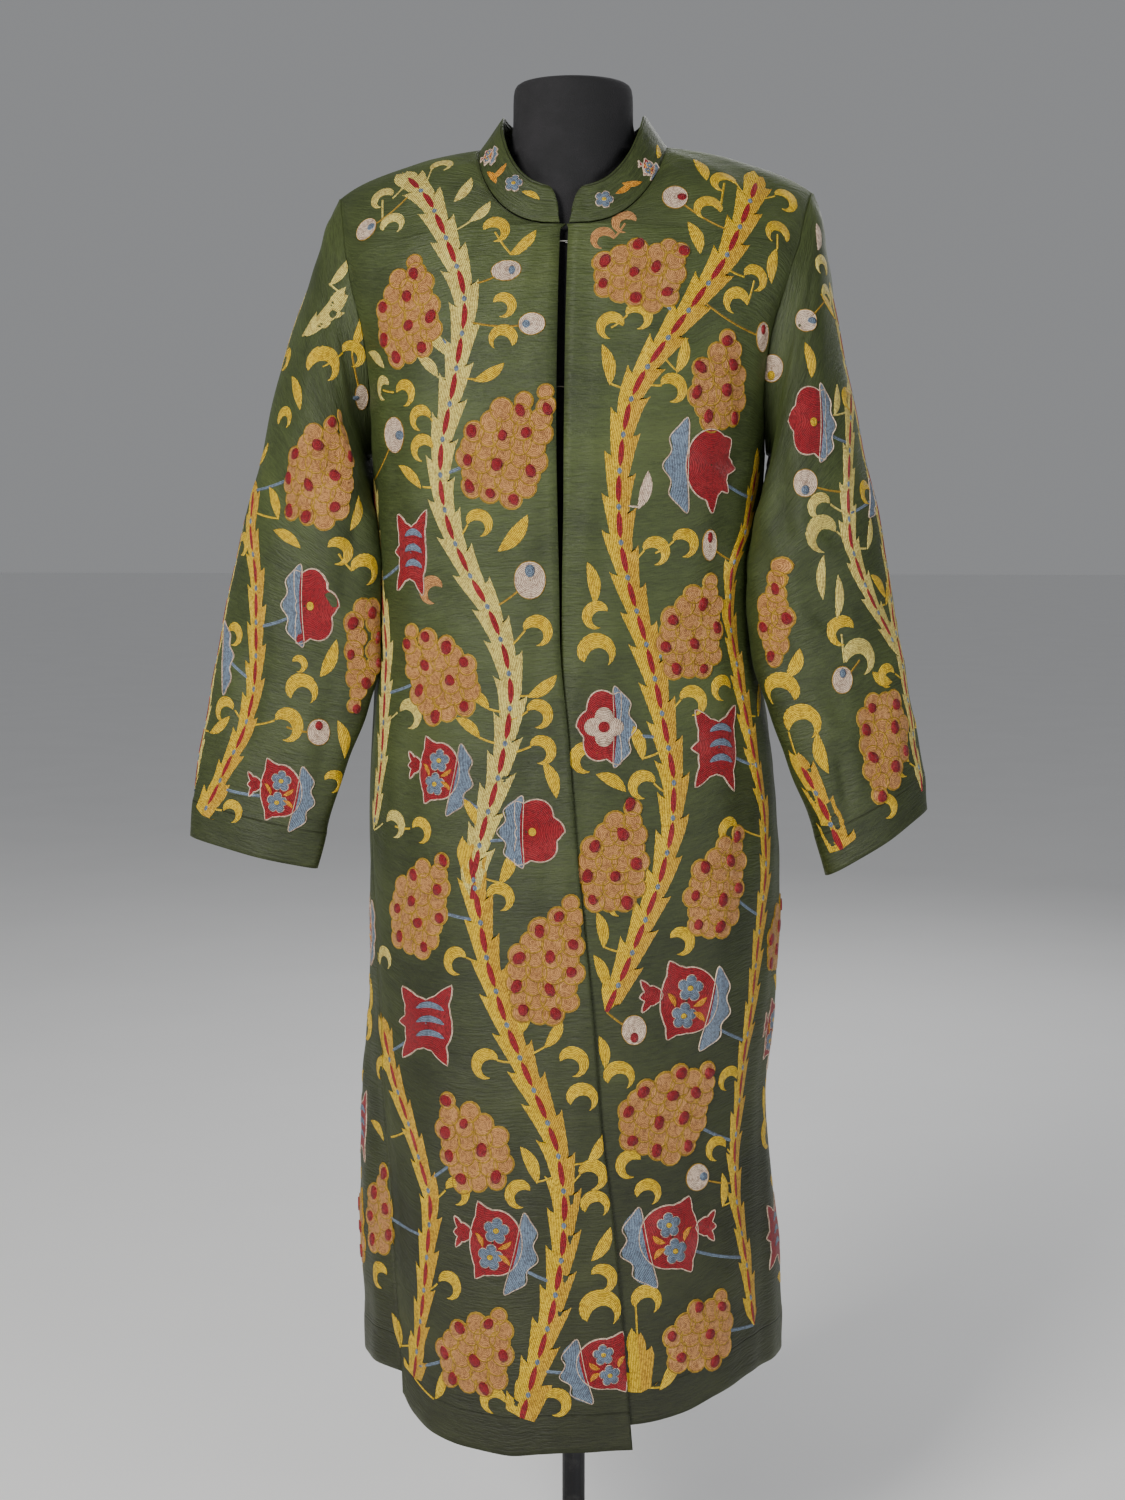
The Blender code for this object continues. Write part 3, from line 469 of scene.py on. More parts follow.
class Socket:
    """An output socket on which shader maths is written as Python expressions."""
    __add__ = __radd__ = maths("ADD")
    __sub__, __rsub__ = maths("SUBTRACT"), maths("SUBTRACT", True)
    __mul__ = __rmul__ = maths("MULTIPLY")
    __truediv__, __pow__ = maths("DIVIDE"), maths("POWER")
    sine, size, floor = maths("SINE"), maths("ABSOLUTE"), maths("FLOOR")

    def __init__(self, tree: "Shader", output: bpy.types.NodeSocket) -> None:
        """Wrap an output socket of a shader's tree."""
        self.tree, self.output = tree, output

    def between(self, low: float, high: float) -> "Socket":
        """Rise smoothly from 0 at low to 1 at high."""
        return self.tree.node("ShaderNodeMapRange", {"interpolation_type": "SMOOTHSTEP"},
                              {"Value": self, "From Min": low, "From Max": high})


class Shader:
    """Node tree of one material."""

    def __init__(self, name: str) -> None:
        """Start a material with its shader and output."""
        self.material = bpy.data.materials.new(name)
        self.material.use_nodes = True
        self.nodes = self.material.node_tree.nodes
        self.links = self.material.node_tree.links
        self.surface = self.nodes["Principled BSDF"]

    def node(self, kind: str, settings: dict, inputs: dict, output: object = 0) -> Socket:
        """Add a node.

        Args:
            kind: The node's type.
            settings: Attributes that are set before its inputs.
            inputs: Values or sockets by input name or number.
            output: Name or number of the output that is wanted.

        Returns:
            That output.
        """
        added = self.nodes.new(kind)
        for key, value in settings.items():
            setattr(added, key, value)
        for key, value in inputs.items():
            self.put(added.inputs[key], value)
        return Socket(self, added.outputs[output])

    def put(self, target: bpy.types.NodeSocket, value: object) -> None:
        """Link a socket to an input or set its value; a colour gets its alpha."""
        if isinstance(value, Socket):
            self.links.new(value.output, target)
        elif target.type == "RGBA":
            target.default_value = (*value[:3], 1.0)
        else:
            target.default_value = value

    def uv(self, name: str) -> Socket:
        """Coordinates of a mesh's own map."""
        return self.node("ShaderNodeUVMap", {"uv_map": name}, {})

    def parts(self, vector: Socket) -> tuple[Socket, Socket, Socket]:
        """X, Y and Z of a vector."""
        split = self.node("ShaderNodeSeparateXYZ", {}, {"Vector": vector})
        return tuple(Socket(self, output) for output in split.output.node.outputs)

    def place(self) -> Socket:
        """Coordinates of the object."""
        return self.node("ShaderNodeTexCoord", {}, {}, "Object")

    def stretched(self, vector: Socket, scale: Sequence[float]) -> Socket:
        """A vector with each of its parts multiplied."""
        return self.node("ShaderNodeVectorMath", {"operation": "MULTIPLY"}, {0: vector, 1: scale})

    def noise(self, vector: Socket, scale: float, detail: float = 2.0, roughness: float = 0.5) -> Socket:
        """Smooth noise about 0.5."""
        return self.node("ShaderNodeTexNoise", {}, {"Vector": vector, "Scale": scale, "Detail": detail,
                                                   "Roughness": roughness})

    def mix(self, share: object, first: object, second: object) -> Socket:
        """Mix two colours."""
        return self.node("ShaderNodeMix", {"data_type": "RGBA"}, {0: share, 6: first, 7: second}, 2)

    def bump(self, height: Socket, distance: float, strength: float = 1.0) -> Socket:
        """Normal of a relief."""
        return self.node("ShaderNodeBump", {}, {"Height": height, "Distance": distance,
                                               "Strength": strength}, "Normal")

    def finish(self, **inputs: object) -> bpy.types.Material:
        """Set or link the surface's inputs, by name with _ for a space.

        Args:
            **inputs: Values or sockets.

        Returns:
            The material.
        """
        for key, value in inputs.items():
            self.put(self.surface.inputs[key.replace("_", " ")], value)
        return self.material


@dataclass(frozen=True)
class Silk:
    """Olive silk, browner and darker towards the hem (partly its own tone, partly painted shade), with fine
    crinkles and a soft sheen.
    """
    light: tuple = (0.064, 0.086, 0.022)
    dark: tuple = (0.018, 0.025, 0.007)
    # Cloth colours low down, browner and darker: partly the silk's own tone, partly painted shade.
    hem_light_tone_and_shade: tuple = (0.037, 0.043, 0.013)
    hem_dark_tone_and_shade: tuple = (0.011, 0.012, 0.005)
    worn: tuple = (0.098, 0.106, 0.034)
    roughness: float = 0.50
    crinkle_depth: float = 0.0017
    hem_stitch: float = 0.034

    def material(self, name: str) -> bpy.types.Material:
        """Make the cloth's material; its map holds metres across the piece and from its hem."""
        shader = Shader(name)
        cloth = shader.uv("cloth")
        place = shader.place()
        crinkle = shader.noise(shader.stretched(cloth, (95.0, 520.0, 1.0)), 1.0, 3.0, 0.6)
        ripple = shader.noise(shader.stretched(cloth, (20.0, 130.0, 1.0)), 1.0, 2.0)
        weave = shader.noise(shader.stretched(cloth, (1500.0, 260.0, 1.0)), 1.0, 2.0, 0.6)
        blotch = shader.noise(shader.stretched(cloth, (5.0, 9.0, 1.0)), 1.0, 3.0, 0.6)
        tone = (crinkle * 0.30 + ripple * 0.12 + weave * 0.18 + blotch * 0.50 - 0.05).between(0.32, 0.70)
        # Mix towards the low colours by height: partly the silk's own tone, partly painted shade of the light
        # from above.
        high = shader.parts(place)[2].between(0.25, 1.15)
        colour = shader.mix(high, shader.mix(tone, self.hem_dark_tone_and_shade, self.hem_light_tone_and_shade),
                            shader.mix(tone, self.dark, self.light))
        colour = shader.mix(blotch.between(0.55, 0.80) * 0.22, colour, self.worn)
        seam = 1.0 - (shader.parts(cloth)[1] - self.hem_stitch).size().between(0.0, 0.0011)
        colour = shader.mix(seam * 0.55, colour, self.hem_dark_tone_and_shade)
        relief = crinkle * 0.8 + ripple * 0.6 + weave * 0.10 - seam * 0.5
        return shader.finish(Base_Color=colour, Roughness=crinkle * 0.16 + (self.roughness - 0.08),
                             Normal=shader.bump(relief, self.crinkle_depth),
                             Specular_IOR_Level=0.32, Sheen_Weight=0.05, Sheen_Roughness=0.35,
                             Sheen_Tint=(0.60, 0.75, 0.30))


@dataclass(frozen=True)
class Velvet:
    """Black cotton velvet of the dress form."""
    colour: tuple = (0.005, 0.005, 0.006)
    rubbed: tuple = (0.013, 0.012, 0.014)

    def material(self, name: str) -> bpy.types.Material:
        """Make the material."""
        shader = Shader(name)
        place = shader.place()
        pile = shader.noise(place, 900.0, 2.0)
        cloud = shader.noise(place, 14.0, 4.0, 0.65)
        return shader.finish(Base_Color=shader.mix(cloud.between(0.40, 0.70), self.colour, self.rubbed),
                             Roughness=cloud * 0.10 + 0.85, Normal=shader.bump(pile, 0.0006),
                             Sheen_Weight=0.10, Sheen_Roughness=0.35, Sheen_Tint=(0.50, 0.50, 0.55))


@dataclass(frozen=True)
class Metal:
    """Painted or bare metal with faint wear."""
    colour: tuple
    worn: tuple
    roughness: float
    metallic: float

    def material(self, name: str) -> bpy.types.Material:
        """Make the material."""
        shader = Shader(name)
        place = shader.place()
        wear = shader.noise(place, 35.0, 5.0, 0.7)
        grain = shader.noise(place, 700.0, 2.0)
        return shader.finish(Base_Color=shader.mix(wear.between(0.50, 0.75), self.colour, self.worn),
                             Roughness=wear * 0.24 + (self.roughness - 0.12), Metallic=self.metallic,
                             Normal=shader.bump(grain, 0.0001))


# Cloth pieces

class Body:
    """Shape of the robe's body, from hem to shoulder line, and of its openings."""

    @staticmethod
    def fold_depth(angle: Array, z: Array) -> Array:
        """Outward shift of the skirt's soft folds."""
        total = np.zeros_like(angle)
        for fold in FOLDS:
            grown = ease((fold.top_z - z) / (fold.top_z - FOLDS_FULL_Z))
            middle = fold.top_angle + (fold.hem_angle - fold.top_angle) * grown
            away = np.abs((angle - middle + 180.0) % 360.0 - 180.0) / fold.half_angle
            total += fold.depth * grown * ease(1.0 - away / 2.0)
        return total

    @staticmethod
    def lap_share(x: Array, z: Array) -> Array:
        """How far the two fronts have parted into layers."""
        across = 1.0 - ease((np.abs(x) - LAP_FLAT_X) / (LAP_END_X - LAP_FLAT_X))
        return across * ease((LAP_OPEN_Z - z) / (LAP_OPEN_Z - FRONT_EDGE_CLOSED_Z))

    def skirt(self, angle: Array, z: Array, layer: float = 0.0) -> Array:
        """Points below the underarm.

        Args:
            angle: Degrees from the centre front towards +X.
            z: Heights.
            layer: Outward shift where the fronts lap.

        Returns:
            The points.
        """
        turn = np.radians(angle)
        power = 2.0 / read(SECTIONS, "squareness", z)
        across, along = signed_power(np.sin(turn), power), signed_power(np.cos(turn), power)
        half_width = read(SECTIONS, "half_width", z)
        depth = np.where(along > 0, read(SECTIONS, "front", z), read(SECTIONS, "back", z))
        outward = unit(stack(np.sin(turn) / half_width, -np.cos(turn) / depth, np.zeros_like(turn)))
        x = read(SECTIONS, "shift", z) + half_width * across
        lap = np.where(along > 0, self.lap_share(x, z), 0.0)
        shift = self.fold_depth(angle, z) + layer * lap
        return stack(x, -depth * along, z) + outward * shift[..., None]

    @staticmethod
    def yoke(angle: Array, rise: Array) -> Array:
        """Points above the underarm, by angle and rise in degrees."""
        angle, rise = np.broadcast_arrays(np.asarray(angle, float), np.asarray(rise, float))
        turn, climb = np.radians(angle), np.radians(rise)
        power = 2.0 / read(RISES, "squareness", rise)
        across, along = signed_power(np.sin(turn), power), signed_power(np.cos(turn), power)
        x = read(RISES, "shift", rise) + read(RISES, "half_width", rise) * across
        underarm = SECTIONS[-1]
        fullness = np.where(along > 0, FRONT_FULLNESS, BACK_FULLNESS)
        depth = np.where(along > 0, underarm.front, underarm.back)
        inward = np.maximum(np.cos(climb), 0.0) ** (2.0 / fullness)
        upward = np.sin(climb) ** (2.0 / fullness)
        return stack(x, -depth * along * inward, UNDERARM_Z + (ridge_height(x) - UNDERARM_Z) * upward)

    @staticmethod
    def climb(x: Array, z: Array, back: Array) -> tuple[Array, Array, Array, Array]:
        """Share of the way up to the shoulder line, rise, depth at the underarm and share of it."""
        share = np.clip((z - UNDERARM_Z) / (ridge_height(x) - UNDERARM_Z), 0.0, 1.0)
        fullness = np.where(back, BACK_FULLNESS, FRONT_FULLNESS)
        climb = np.arcsin(share ** (fullness / 2.0))
        underarm = SECTIONS[-1]
        inward = np.maximum(np.cos(climb), 0.0) ** (2.0 / fullness)
        return share, np.degrees(climb), np.where(back, underarm.back, underarm.front), inward

    @staticmethod
    def angle_at_x(x: Array, at: Array, table: Sequence[NamedTuple]) -> Array:
        """Angle at which the front is at x, at a height of SECTIONS or a rise of RISES."""
        part = (x - read(table, "shift", at)) / read(table, "half_width", at)
        sine = signed_power(part, read(table, "squareness", at) / 2.0)
        return np.degrees(np.arcsin(np.clip(sine, -1.0, 1.0)))

    @staticmethod
    def armhole_angle(side: int, back: bool, rise: Array) -> Array:
        """Angle at which a panel ends at its armhole."""
        part = read(RISES, "back_armhole" if back else "front_armhole", rise)
        sine = np.minimum(part, 1.0) ** (read(RISES, "squareness", rise) / 2.0)
        turn = np.degrees(np.arcsin(np.clip(sine, -1.0, 1.0)))
        return side * (180.0 - turn if back else turn)

    @staticmethod
    def neck_plan(point: Array, margin: Array) -> Array:
        """Below 1 inside the neck seam as seen from above, above 1 outside it."""
        x, y = np.abs(point[..., 0]), point[..., 1]
        depth = np.where(y < 0, NECK_FRONT, NECK_BACK)
        return ((x / (NECK_HALF_WIDTH + margin)) ** NECK_SQUARENESS
                + (np.abs(y) / (depth + margin)) ** NECK_SQUARENESS)

    @staticmethod
    def seam_margin(rise: Array) -> Array:
        """How far outside the collar's middle a panel ends at the neck seam."""
        return NECK_TUCK * (SEAM + HALF_WALL * (1.0 + np.cos(np.radians(rise))))

    def neck_angle(self, side: int, back: bool, rise: Array, margin: Array) -> Array:
        """Angle at which level curves leave the neck seam, or NaN below it."""
        rise = np.asarray(rise, float)
        near = np.full_like(rise, 180.0 if back else 0.0)
        far = np.full_like(rise, 90.0)
        below = self.neck_plan(self.yoke(side * near, rise), margin) > 1.0
        for _ in range(HALVINGS):
            middle = (near + far) / 2
            inside = self.neck_plan(self.yoke(side * middle, rise), margin) < 1.0
            near, far = np.where(inside, middle, near), np.where(inside, far, middle)
        return np.where(below, np.nan, side * (near + far) / 2)

    def neck_rise(self, side: int, back: bool, on_collar: bool = False) -> float:
        """Rise at which the centre line of a panel, or of the collar, meets the neck seam."""
        low, high = 20.0, NEARLY_SHOULDER
        for _ in range(HALVINGS):
            middle = (low + high) / 2
            margin = 0.0 if on_collar else self.seam_margin(middle)
            if np.isnan(self.neck_angle(side, back, middle, margin)):
                low = middle
            else:
                high = middle
        return high


BODY = Body()


class Crease(NamedTuple):
    """A valley (negative depth) or ridge along a line of photograph pixels."""
    x1: float
    y1: float
    x2: float
    y2: float
    half_width: float
    depth: float


RIGHT_FRONT_CREASES = table(Crease, (
    (352, 440, 376, 505, 8, -0.0022), (360, 520, 384, 600, 9, -0.0018), (497, 214, 470, 262, 6, -0.0014),
    (524, 232, 508, 292, 6, -0.0012), (376, 640, 392, 800, 11, 0.0018), (520, 900, 560, 1380, 26, -0.0022),
    (400, 930, 392, 1240, 18, -0.0022),
))
LEFT_FRONT_CREASES = table(Crease, (
    (778, 428, 757, 482, 7, -0.0034), (766, 440, 724, 470, 7, -0.0016), (765, 520, 740, 600, 9, -0.002),
    (752, 640, 764, 800, 11, 0.0018), (757, 860, 748, 1130, 18, -0.0024), (690, 900, 684, 1300, 30, -0.002),
))
RIGHT_SLEEVE_CREASES = table(Crease, (
    (352, 395, 318, 520, 11, -0.003), (366, 480, 340, 610, 9, -0.003), (318, 560, 352, 640, 8, 0.002),
    (300, 640, 345, 690, 8, -0.0024), (330, 690, 318, 800, 9, -0.0026), (262, 640, 240, 760, 10, -0.0022),
    (250, 430, 244, 560, 10, 0.002),
))
LEFT_SLEEVE_CREASES = table(Crease, (
    (782, 440, 786, 560, 9, -0.0036), (760, 545, 802, 665, 10, -0.0036), (792, 516, 838, 562, 8, 0.0022),
    (800, 600, 850, 640, 8, -0.0022), (838, 745, 849, 815, 7, -0.0034), (812, 690, 838, 745, 8, 0.0022),
    (868, 690, 876, 790, 11, -0.002), (858, 430, 872, 560, 10, -0.002),
))


@dataclass
class ClothPiece:
    """One cut-and-sewn piece: a fine grid of its middle surface, then its mesh with a wall."""
    name: str
    flat_margin: float = 1.02
    around: bool = False
    held: str = "draped"
    rests_on: tuple = ("form_body",)
    creases: tuple = ()
    hem_step: float = HEM_STEP
    grids: list = field(default_factory=list)
    piece: Optional[bpy.types.Object] = None
    tree: Optional[BVHTree] = None

    def rows(self) -> list:
        """Grids of points; each class of pieces has its own."""
        raise NotImplementedError

    def turned_out(self) -> bool:
        """Whether the faces of the grids look outward as they are joined."""
        return True

    def normals(self, grid: Array) -> Array:
        """Outward unit normals at the points of a grid."""
        if self.around:
            across = np.roll(grid, -1, axis=1) - np.roll(grid, 1, axis=1)
        else:
            across = np.gradient(grid, axis=1)
        normals = unit(np.cross(across, np.gradient(grid, axis=0)))
        return normals if self.turned_out() else -normals

    def crinkle(self, grid: Array, normals: Array) -> Array:
        """Outward shift of the piece's creases, none at its sewn edges."""
        view = View()
        seen = view.pixels(grid)
        facing = ease(view.facing(grid, normals) / 0.35)
        shift = np.zeros(grid.shape[:2])
        for crease in self.creases:
            start = np.array([crease.x1, crease.y1])
            line = np.array([crease.x2, crease.y2]) - start
            share = np.clip(((seen - start) @ line) / (line @ line), 0.0, 1.0)
            gap = np.linalg.norm(seen - start - share[..., None] * line, axis=-1)
            fade = np.sin(np.pi * np.clip(share, 0.04, 0.96)) ** 0.6
            profile = np.exp(-(gap / crease.half_width) ** 2)
            flank = 0.35 * np.exp(-((gap - 2.0 * crease.half_width) / crease.half_width) ** 2)
            shift += crease.depth * fade * (profile - flank)
        return shift * facing

    def undulation(self, grid: Array) -> Array:
        """Small soft waves that hand-sewn silk has everywhere."""
        x, y, z = grid[..., 0], grid[..., 1], grid[..., 2]
        turn = np.arctan2(x, -y)
        return (0.0007 * np.sin(9.0 * turn + 7.0 * z + 1.3 * np.sin(11.0 * z))
                + 0.0005 * np.sin(23.0 * turn - 16.0 * z + 2.0 * np.sin(5.0 * turn))
                + 0.00035 * np.sin(95.0 * z + 6.0 * np.sin(3.1 * turn + 9.0 * z)))

    def edge_mask(self, grid: Array) -> Array:
        """0 at sewn edges, 1 inside."""
        return np.ones(grid.shape[:2])

    def from_hem(self, up: Array) -> Array:
        """Metres from the piece's free edge, from metres up its grid."""
        return up

    def build(self) -> None:
        """Shape the grids, then make the mesh, its wall and its search tree."""
        for grid in self.rows():
            normals = self.normals(grid)
            shift = self.crinkle(grid, normals) + self.undulation(grid)
            hem = self.from_hem(self.measures(grid)[1])
            shift += self.hem_step * (1.0 - ease((hem - HEM_BAND) / 0.003))
            self.grids.append(grid + normals * (shift * self.edge_mask(grid))[..., None])
        vertices, faces, maps = [], [], []
        for grid in self.grids:
            across, up = self.measures(grid)
            places = stack(across, self.closed(self.from_hem(up)))
            grid = self.closed(grid)
            rows, columns = grid.shape[:2]
            offset = len(vertices)
            vertices.extend(map(tuple, grid.reshape(-1, 3)))
            for corners in cells(rows, columns, not self.turned_out()):
                faces.append([offset + row * columns + column for row, column in corners])
                maps.extend(places[corner] for corner in corners)
        mesh = bpy.data.meshes.new(self.name)
        mesh.from_pydata(vertices, [], faces)
        mesh.uv_layers.new(name="cloth").data.foreach_set("uv", np.array(maps, np.float32).ravel())
        mesh.shade_smooth()
        self.tree = BVHTree.FromPolygons(vertices, faces)
        self.piece = shown(f"{self.name}_cloth", mesh)
        if len(self.grids) > 1 or self.around:
            self.weld(mesh)
        wall = self.piece.modifiers.new("Wall", "SOLIDIFY")
        wall.thickness = WALL
        wall.offset = 0.0
        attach(self.piece, "root")
        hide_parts(self.name)

    @staticmethod
    def weld(mesh: bpy.types.Mesh) -> None:
        """Join grids that share an edge."""
        shape = bmesh.new()
        shape.from_mesh(mesh)
        bmesh.ops.remove_doubles(shape, verts=shape.verts, dist=1e-6)
        shape.to_mesh(mesh)
        shape.free()

    def closed(self, grid: Array) -> Array:
        """The grid, with its first column again at its end where the piece is a tube."""
        return np.concatenate([grid, grid[:, :1]], axis=1) if self.around else grid

    def measures(self, grid: Array) -> tuple[Array, Array]:
        """Metres across and up the piece at each point, for its map."""
        steps = np.linalg.norm(np.diff(self.closed(grid), axis=1), axis=-1)
        across = np.concatenate([np.zeros((len(grid), 1)), np.cumsum(steps, axis=1)], axis=1)
        rises = np.linalg.norm(np.diff(grid, axis=0), axis=-1)
        up = np.concatenate([np.zeros((1, grid.shape[1])), np.cumsum(rises, axis=0)], axis=0)
        return across, up

    def declare(self, with_pieces: Sequence[bpy.types.Object]) -> None:
        """Say what flat piece of silk was cut for it, measured on its middle surface."""
        width = length = area = 0.0
        for grid in self.grids:
            across, up = self.measures(grid)
            width += float(across[:, -1].max())
            length = max(length, float(up[-1].max()))
            closed = self.closed(grid)
            one, two = np.diff(closed, axis=1)[:-1], np.diff(closed, axis=0)[:, :-1]
            area += float(np.linalg.norm(np.cross(one, two), axis=-1).sum())
        width, length = width * self.flat_margin, length * self.flat_margin
        area = min(area * self.flat_margin, width * length)
        list(self.rests_on)
        LOG.info("%s: cut %.3f x %.3f m, area %.3f m2", self.name, width, length, area)


SKIRT_ROWS = 168
YOKE_ROWS_BELOW_NECK = 44
YOKE_ROWS_ABOVE_NECK = 30
FRONT_COLUMNS = 84
BACK_COLUMNS = 64
SLEEVE_RINGS = 140
COLLAR_ROWS = 10


def rise_steps(neck_at: float) -> Array:
    """Rises of the yoke's rows, closer together where the neck seam starts."""
    below = np.linspace(0.0, neck_at, YOKE_ROWS_BELOW_NECK + 1)[1:]
    share = 0.997 * np.linspace(0.0, 1.0, YOKE_ROWS_ABOVE_NECK + 1)[1:] ** 1.5
    return np.concatenate([below, neck_at + (90.0 - neck_at) * share])


@dataclass
class Panel(ClothPiece):
    """A front or the back."""
    side: int = 1

    def levels(self, column_share: Array, start: Callable, end: Callable, hem: Callable,
               layer: float) -> Array:
        """Points of the skirt part of a panel.

        Args:
            column_share: Shares of the way across the panel.
            start: Angle of the panel's first edge at heights.
            end: Angle of its last edge at heights.
            hem: Height of the hem at angles.
            layer: Outward shift where the fronts lap.

        Returns:
            Points, hem first.
        """
        level = np.linspace(0.0, 1.0, SKIRT_ROWS + 1)[:, None]
        z = HEM_START_Z + (UNDERARM_Z - HEM_START_Z) * level + 0.0 * column_share[None, :]
        for _ in range(HEM_PASSES):
            angle = start(z) + (end(z) - start(z)) * column_share[None, :]
            low = hem(angle)
            z = low + (UNDERARM_Z - low) * level
        return BODY.skirt(angle, z, layer)

    def yoke(self, side: int, back: bool, share: Array, centre: Callable) -> Array:
        """Points of the yoke part of a panel.

        Args:
            side: 1 towards +X, -1 towards -X.
            back: Whether it is the back's.
            share: Shares of the way across.
            centre: Angle of its first edge below the neck seam, by rise.

        Returns:
            Points, underarm first.
        """
        rises = rise_steps(BODY.neck_rise(side, back))
        neck = BODY.neck_angle(side, back, rises, BODY.seam_margin(rises))
        start = np.where(np.isnan(neck), centre(rises), neck)
        end = BODY.armhole_angle(side, back, np.minimum(rises, NEARLY_SHOULDER))
        yoke = BODY.yoke(start[:, None] + (end - start)[:, None] * share[None, :], rises[:, None])
        away = 1.0 if back else -1.0
        yoke[-1, :, 1] = away * np.maximum(away * yoke[-1, :, 1], SHOULDER_HALF_GAP)
        return yoke

    def edge_mask(self, grid: Array) -> Array:
        """0 along the neck, armhole and shoulder seams, 1 a little inside them."""
        rows, columns = grid.shape[:2]
        from_side = ease(np.arange(columns)[::-1] / 4.0)[None, :]
        from_shoulder = ease(np.arange(rows)[::-1] / 5.0)[:, None]
        above = (np.arange(rows) > SKIRT_ROWS)[:, None]
        from_neck = np.where(above, ease(np.arange(columns) / 4.0)[None, :], 1.0)
        return from_side * from_shoulder * from_neck


@dataclass
class FrontPanel(Panel):
    """One front, from its front edge to its side seam and armhole."""

    def turned_out(self) -> bool:
        """Columns run from the centre to a side, so one side's faces turn over."""
        return self.side > 0

    def rows(self) -> list:
        """The front's grid, hem to shoulder."""
        right = self.side < 0
        edge_column = "right_front_x" if right else "left_front_x"
        seam_column = "right_seam" if right else "left_seam"
        hem_column = "right_front" if right else "left_front"
        share = np.linspace(0.0, 1.0, FRONT_COLUMNS + 1)
        skirt = self.levels(
            share,
            lambda z: BODY.angle_at_x(read(EDGES, edge_column, z), z, SECTIONS),
            lambda z: self.side * (read(EDGES, seam_column, z)
                                   - np.degrees(SEAM_HALF / read(SECTIONS, "front", z))),
            lambda angle: read(HEMS, hem_column, self.side * angle),
            LAP_SHIFT if right else -LAP_SHIFT)
        yoke = self.yoke(self.side, False, share, lambda rises: BODY.angle_at_x(
            read(EDGES, edge_column, BODY.yoke(0.0, rises)[..., 2]), rises, RISES))
        return [np.concatenate([skirt, yoke])]


@dataclass
class BackPanel(Panel):
    """The back, as two halves that meet in the middle."""

    def turned_out(self) -> bool:
        """Both halves run towards +X, which is the other way round seen from behind."""
        return False

    def rows(self) -> list:
        """The grids of the halves, hem to shoulder; both run towards +X."""
        return [self.half(-1)[:, ::-1], self.half(1)]

    def half(self, side: int) -> Array:
        """One half, from the middle out."""
        seam_column = "left_seam" if side > 0 else "right_seam"
        share = np.linspace(0.0, 1.0, BACK_COLUMNS + 1)
        skirt = self.levels(
            share,
            lambda z: np.full_like(z, side * 180.0),
            lambda z: side * (read(EDGES, seam_column, z)
                              + np.degrees(SEAM_HALF / read(SECTIONS, "back", z))),
            lambda angle: read(HEMS, "back", np.abs(angle)), 0.0)
        return np.concatenate([skirt, self.yoke(side, True, share, lambda rises: side * 180.0)])

    def edge_mask(self, grid: Array) -> Array:
        """0 along the seams; the middle edge of a half is joined to the other."""
        left_half = grid[0, :, 0].mean() < 0
        mask = super().edge_mask(grid[:, ::-1] if left_half else grid)
        return mask[:, ::-1] if left_half else mask


ARMHOLE_REACH = 3.2
TURN_REACH = 6.0


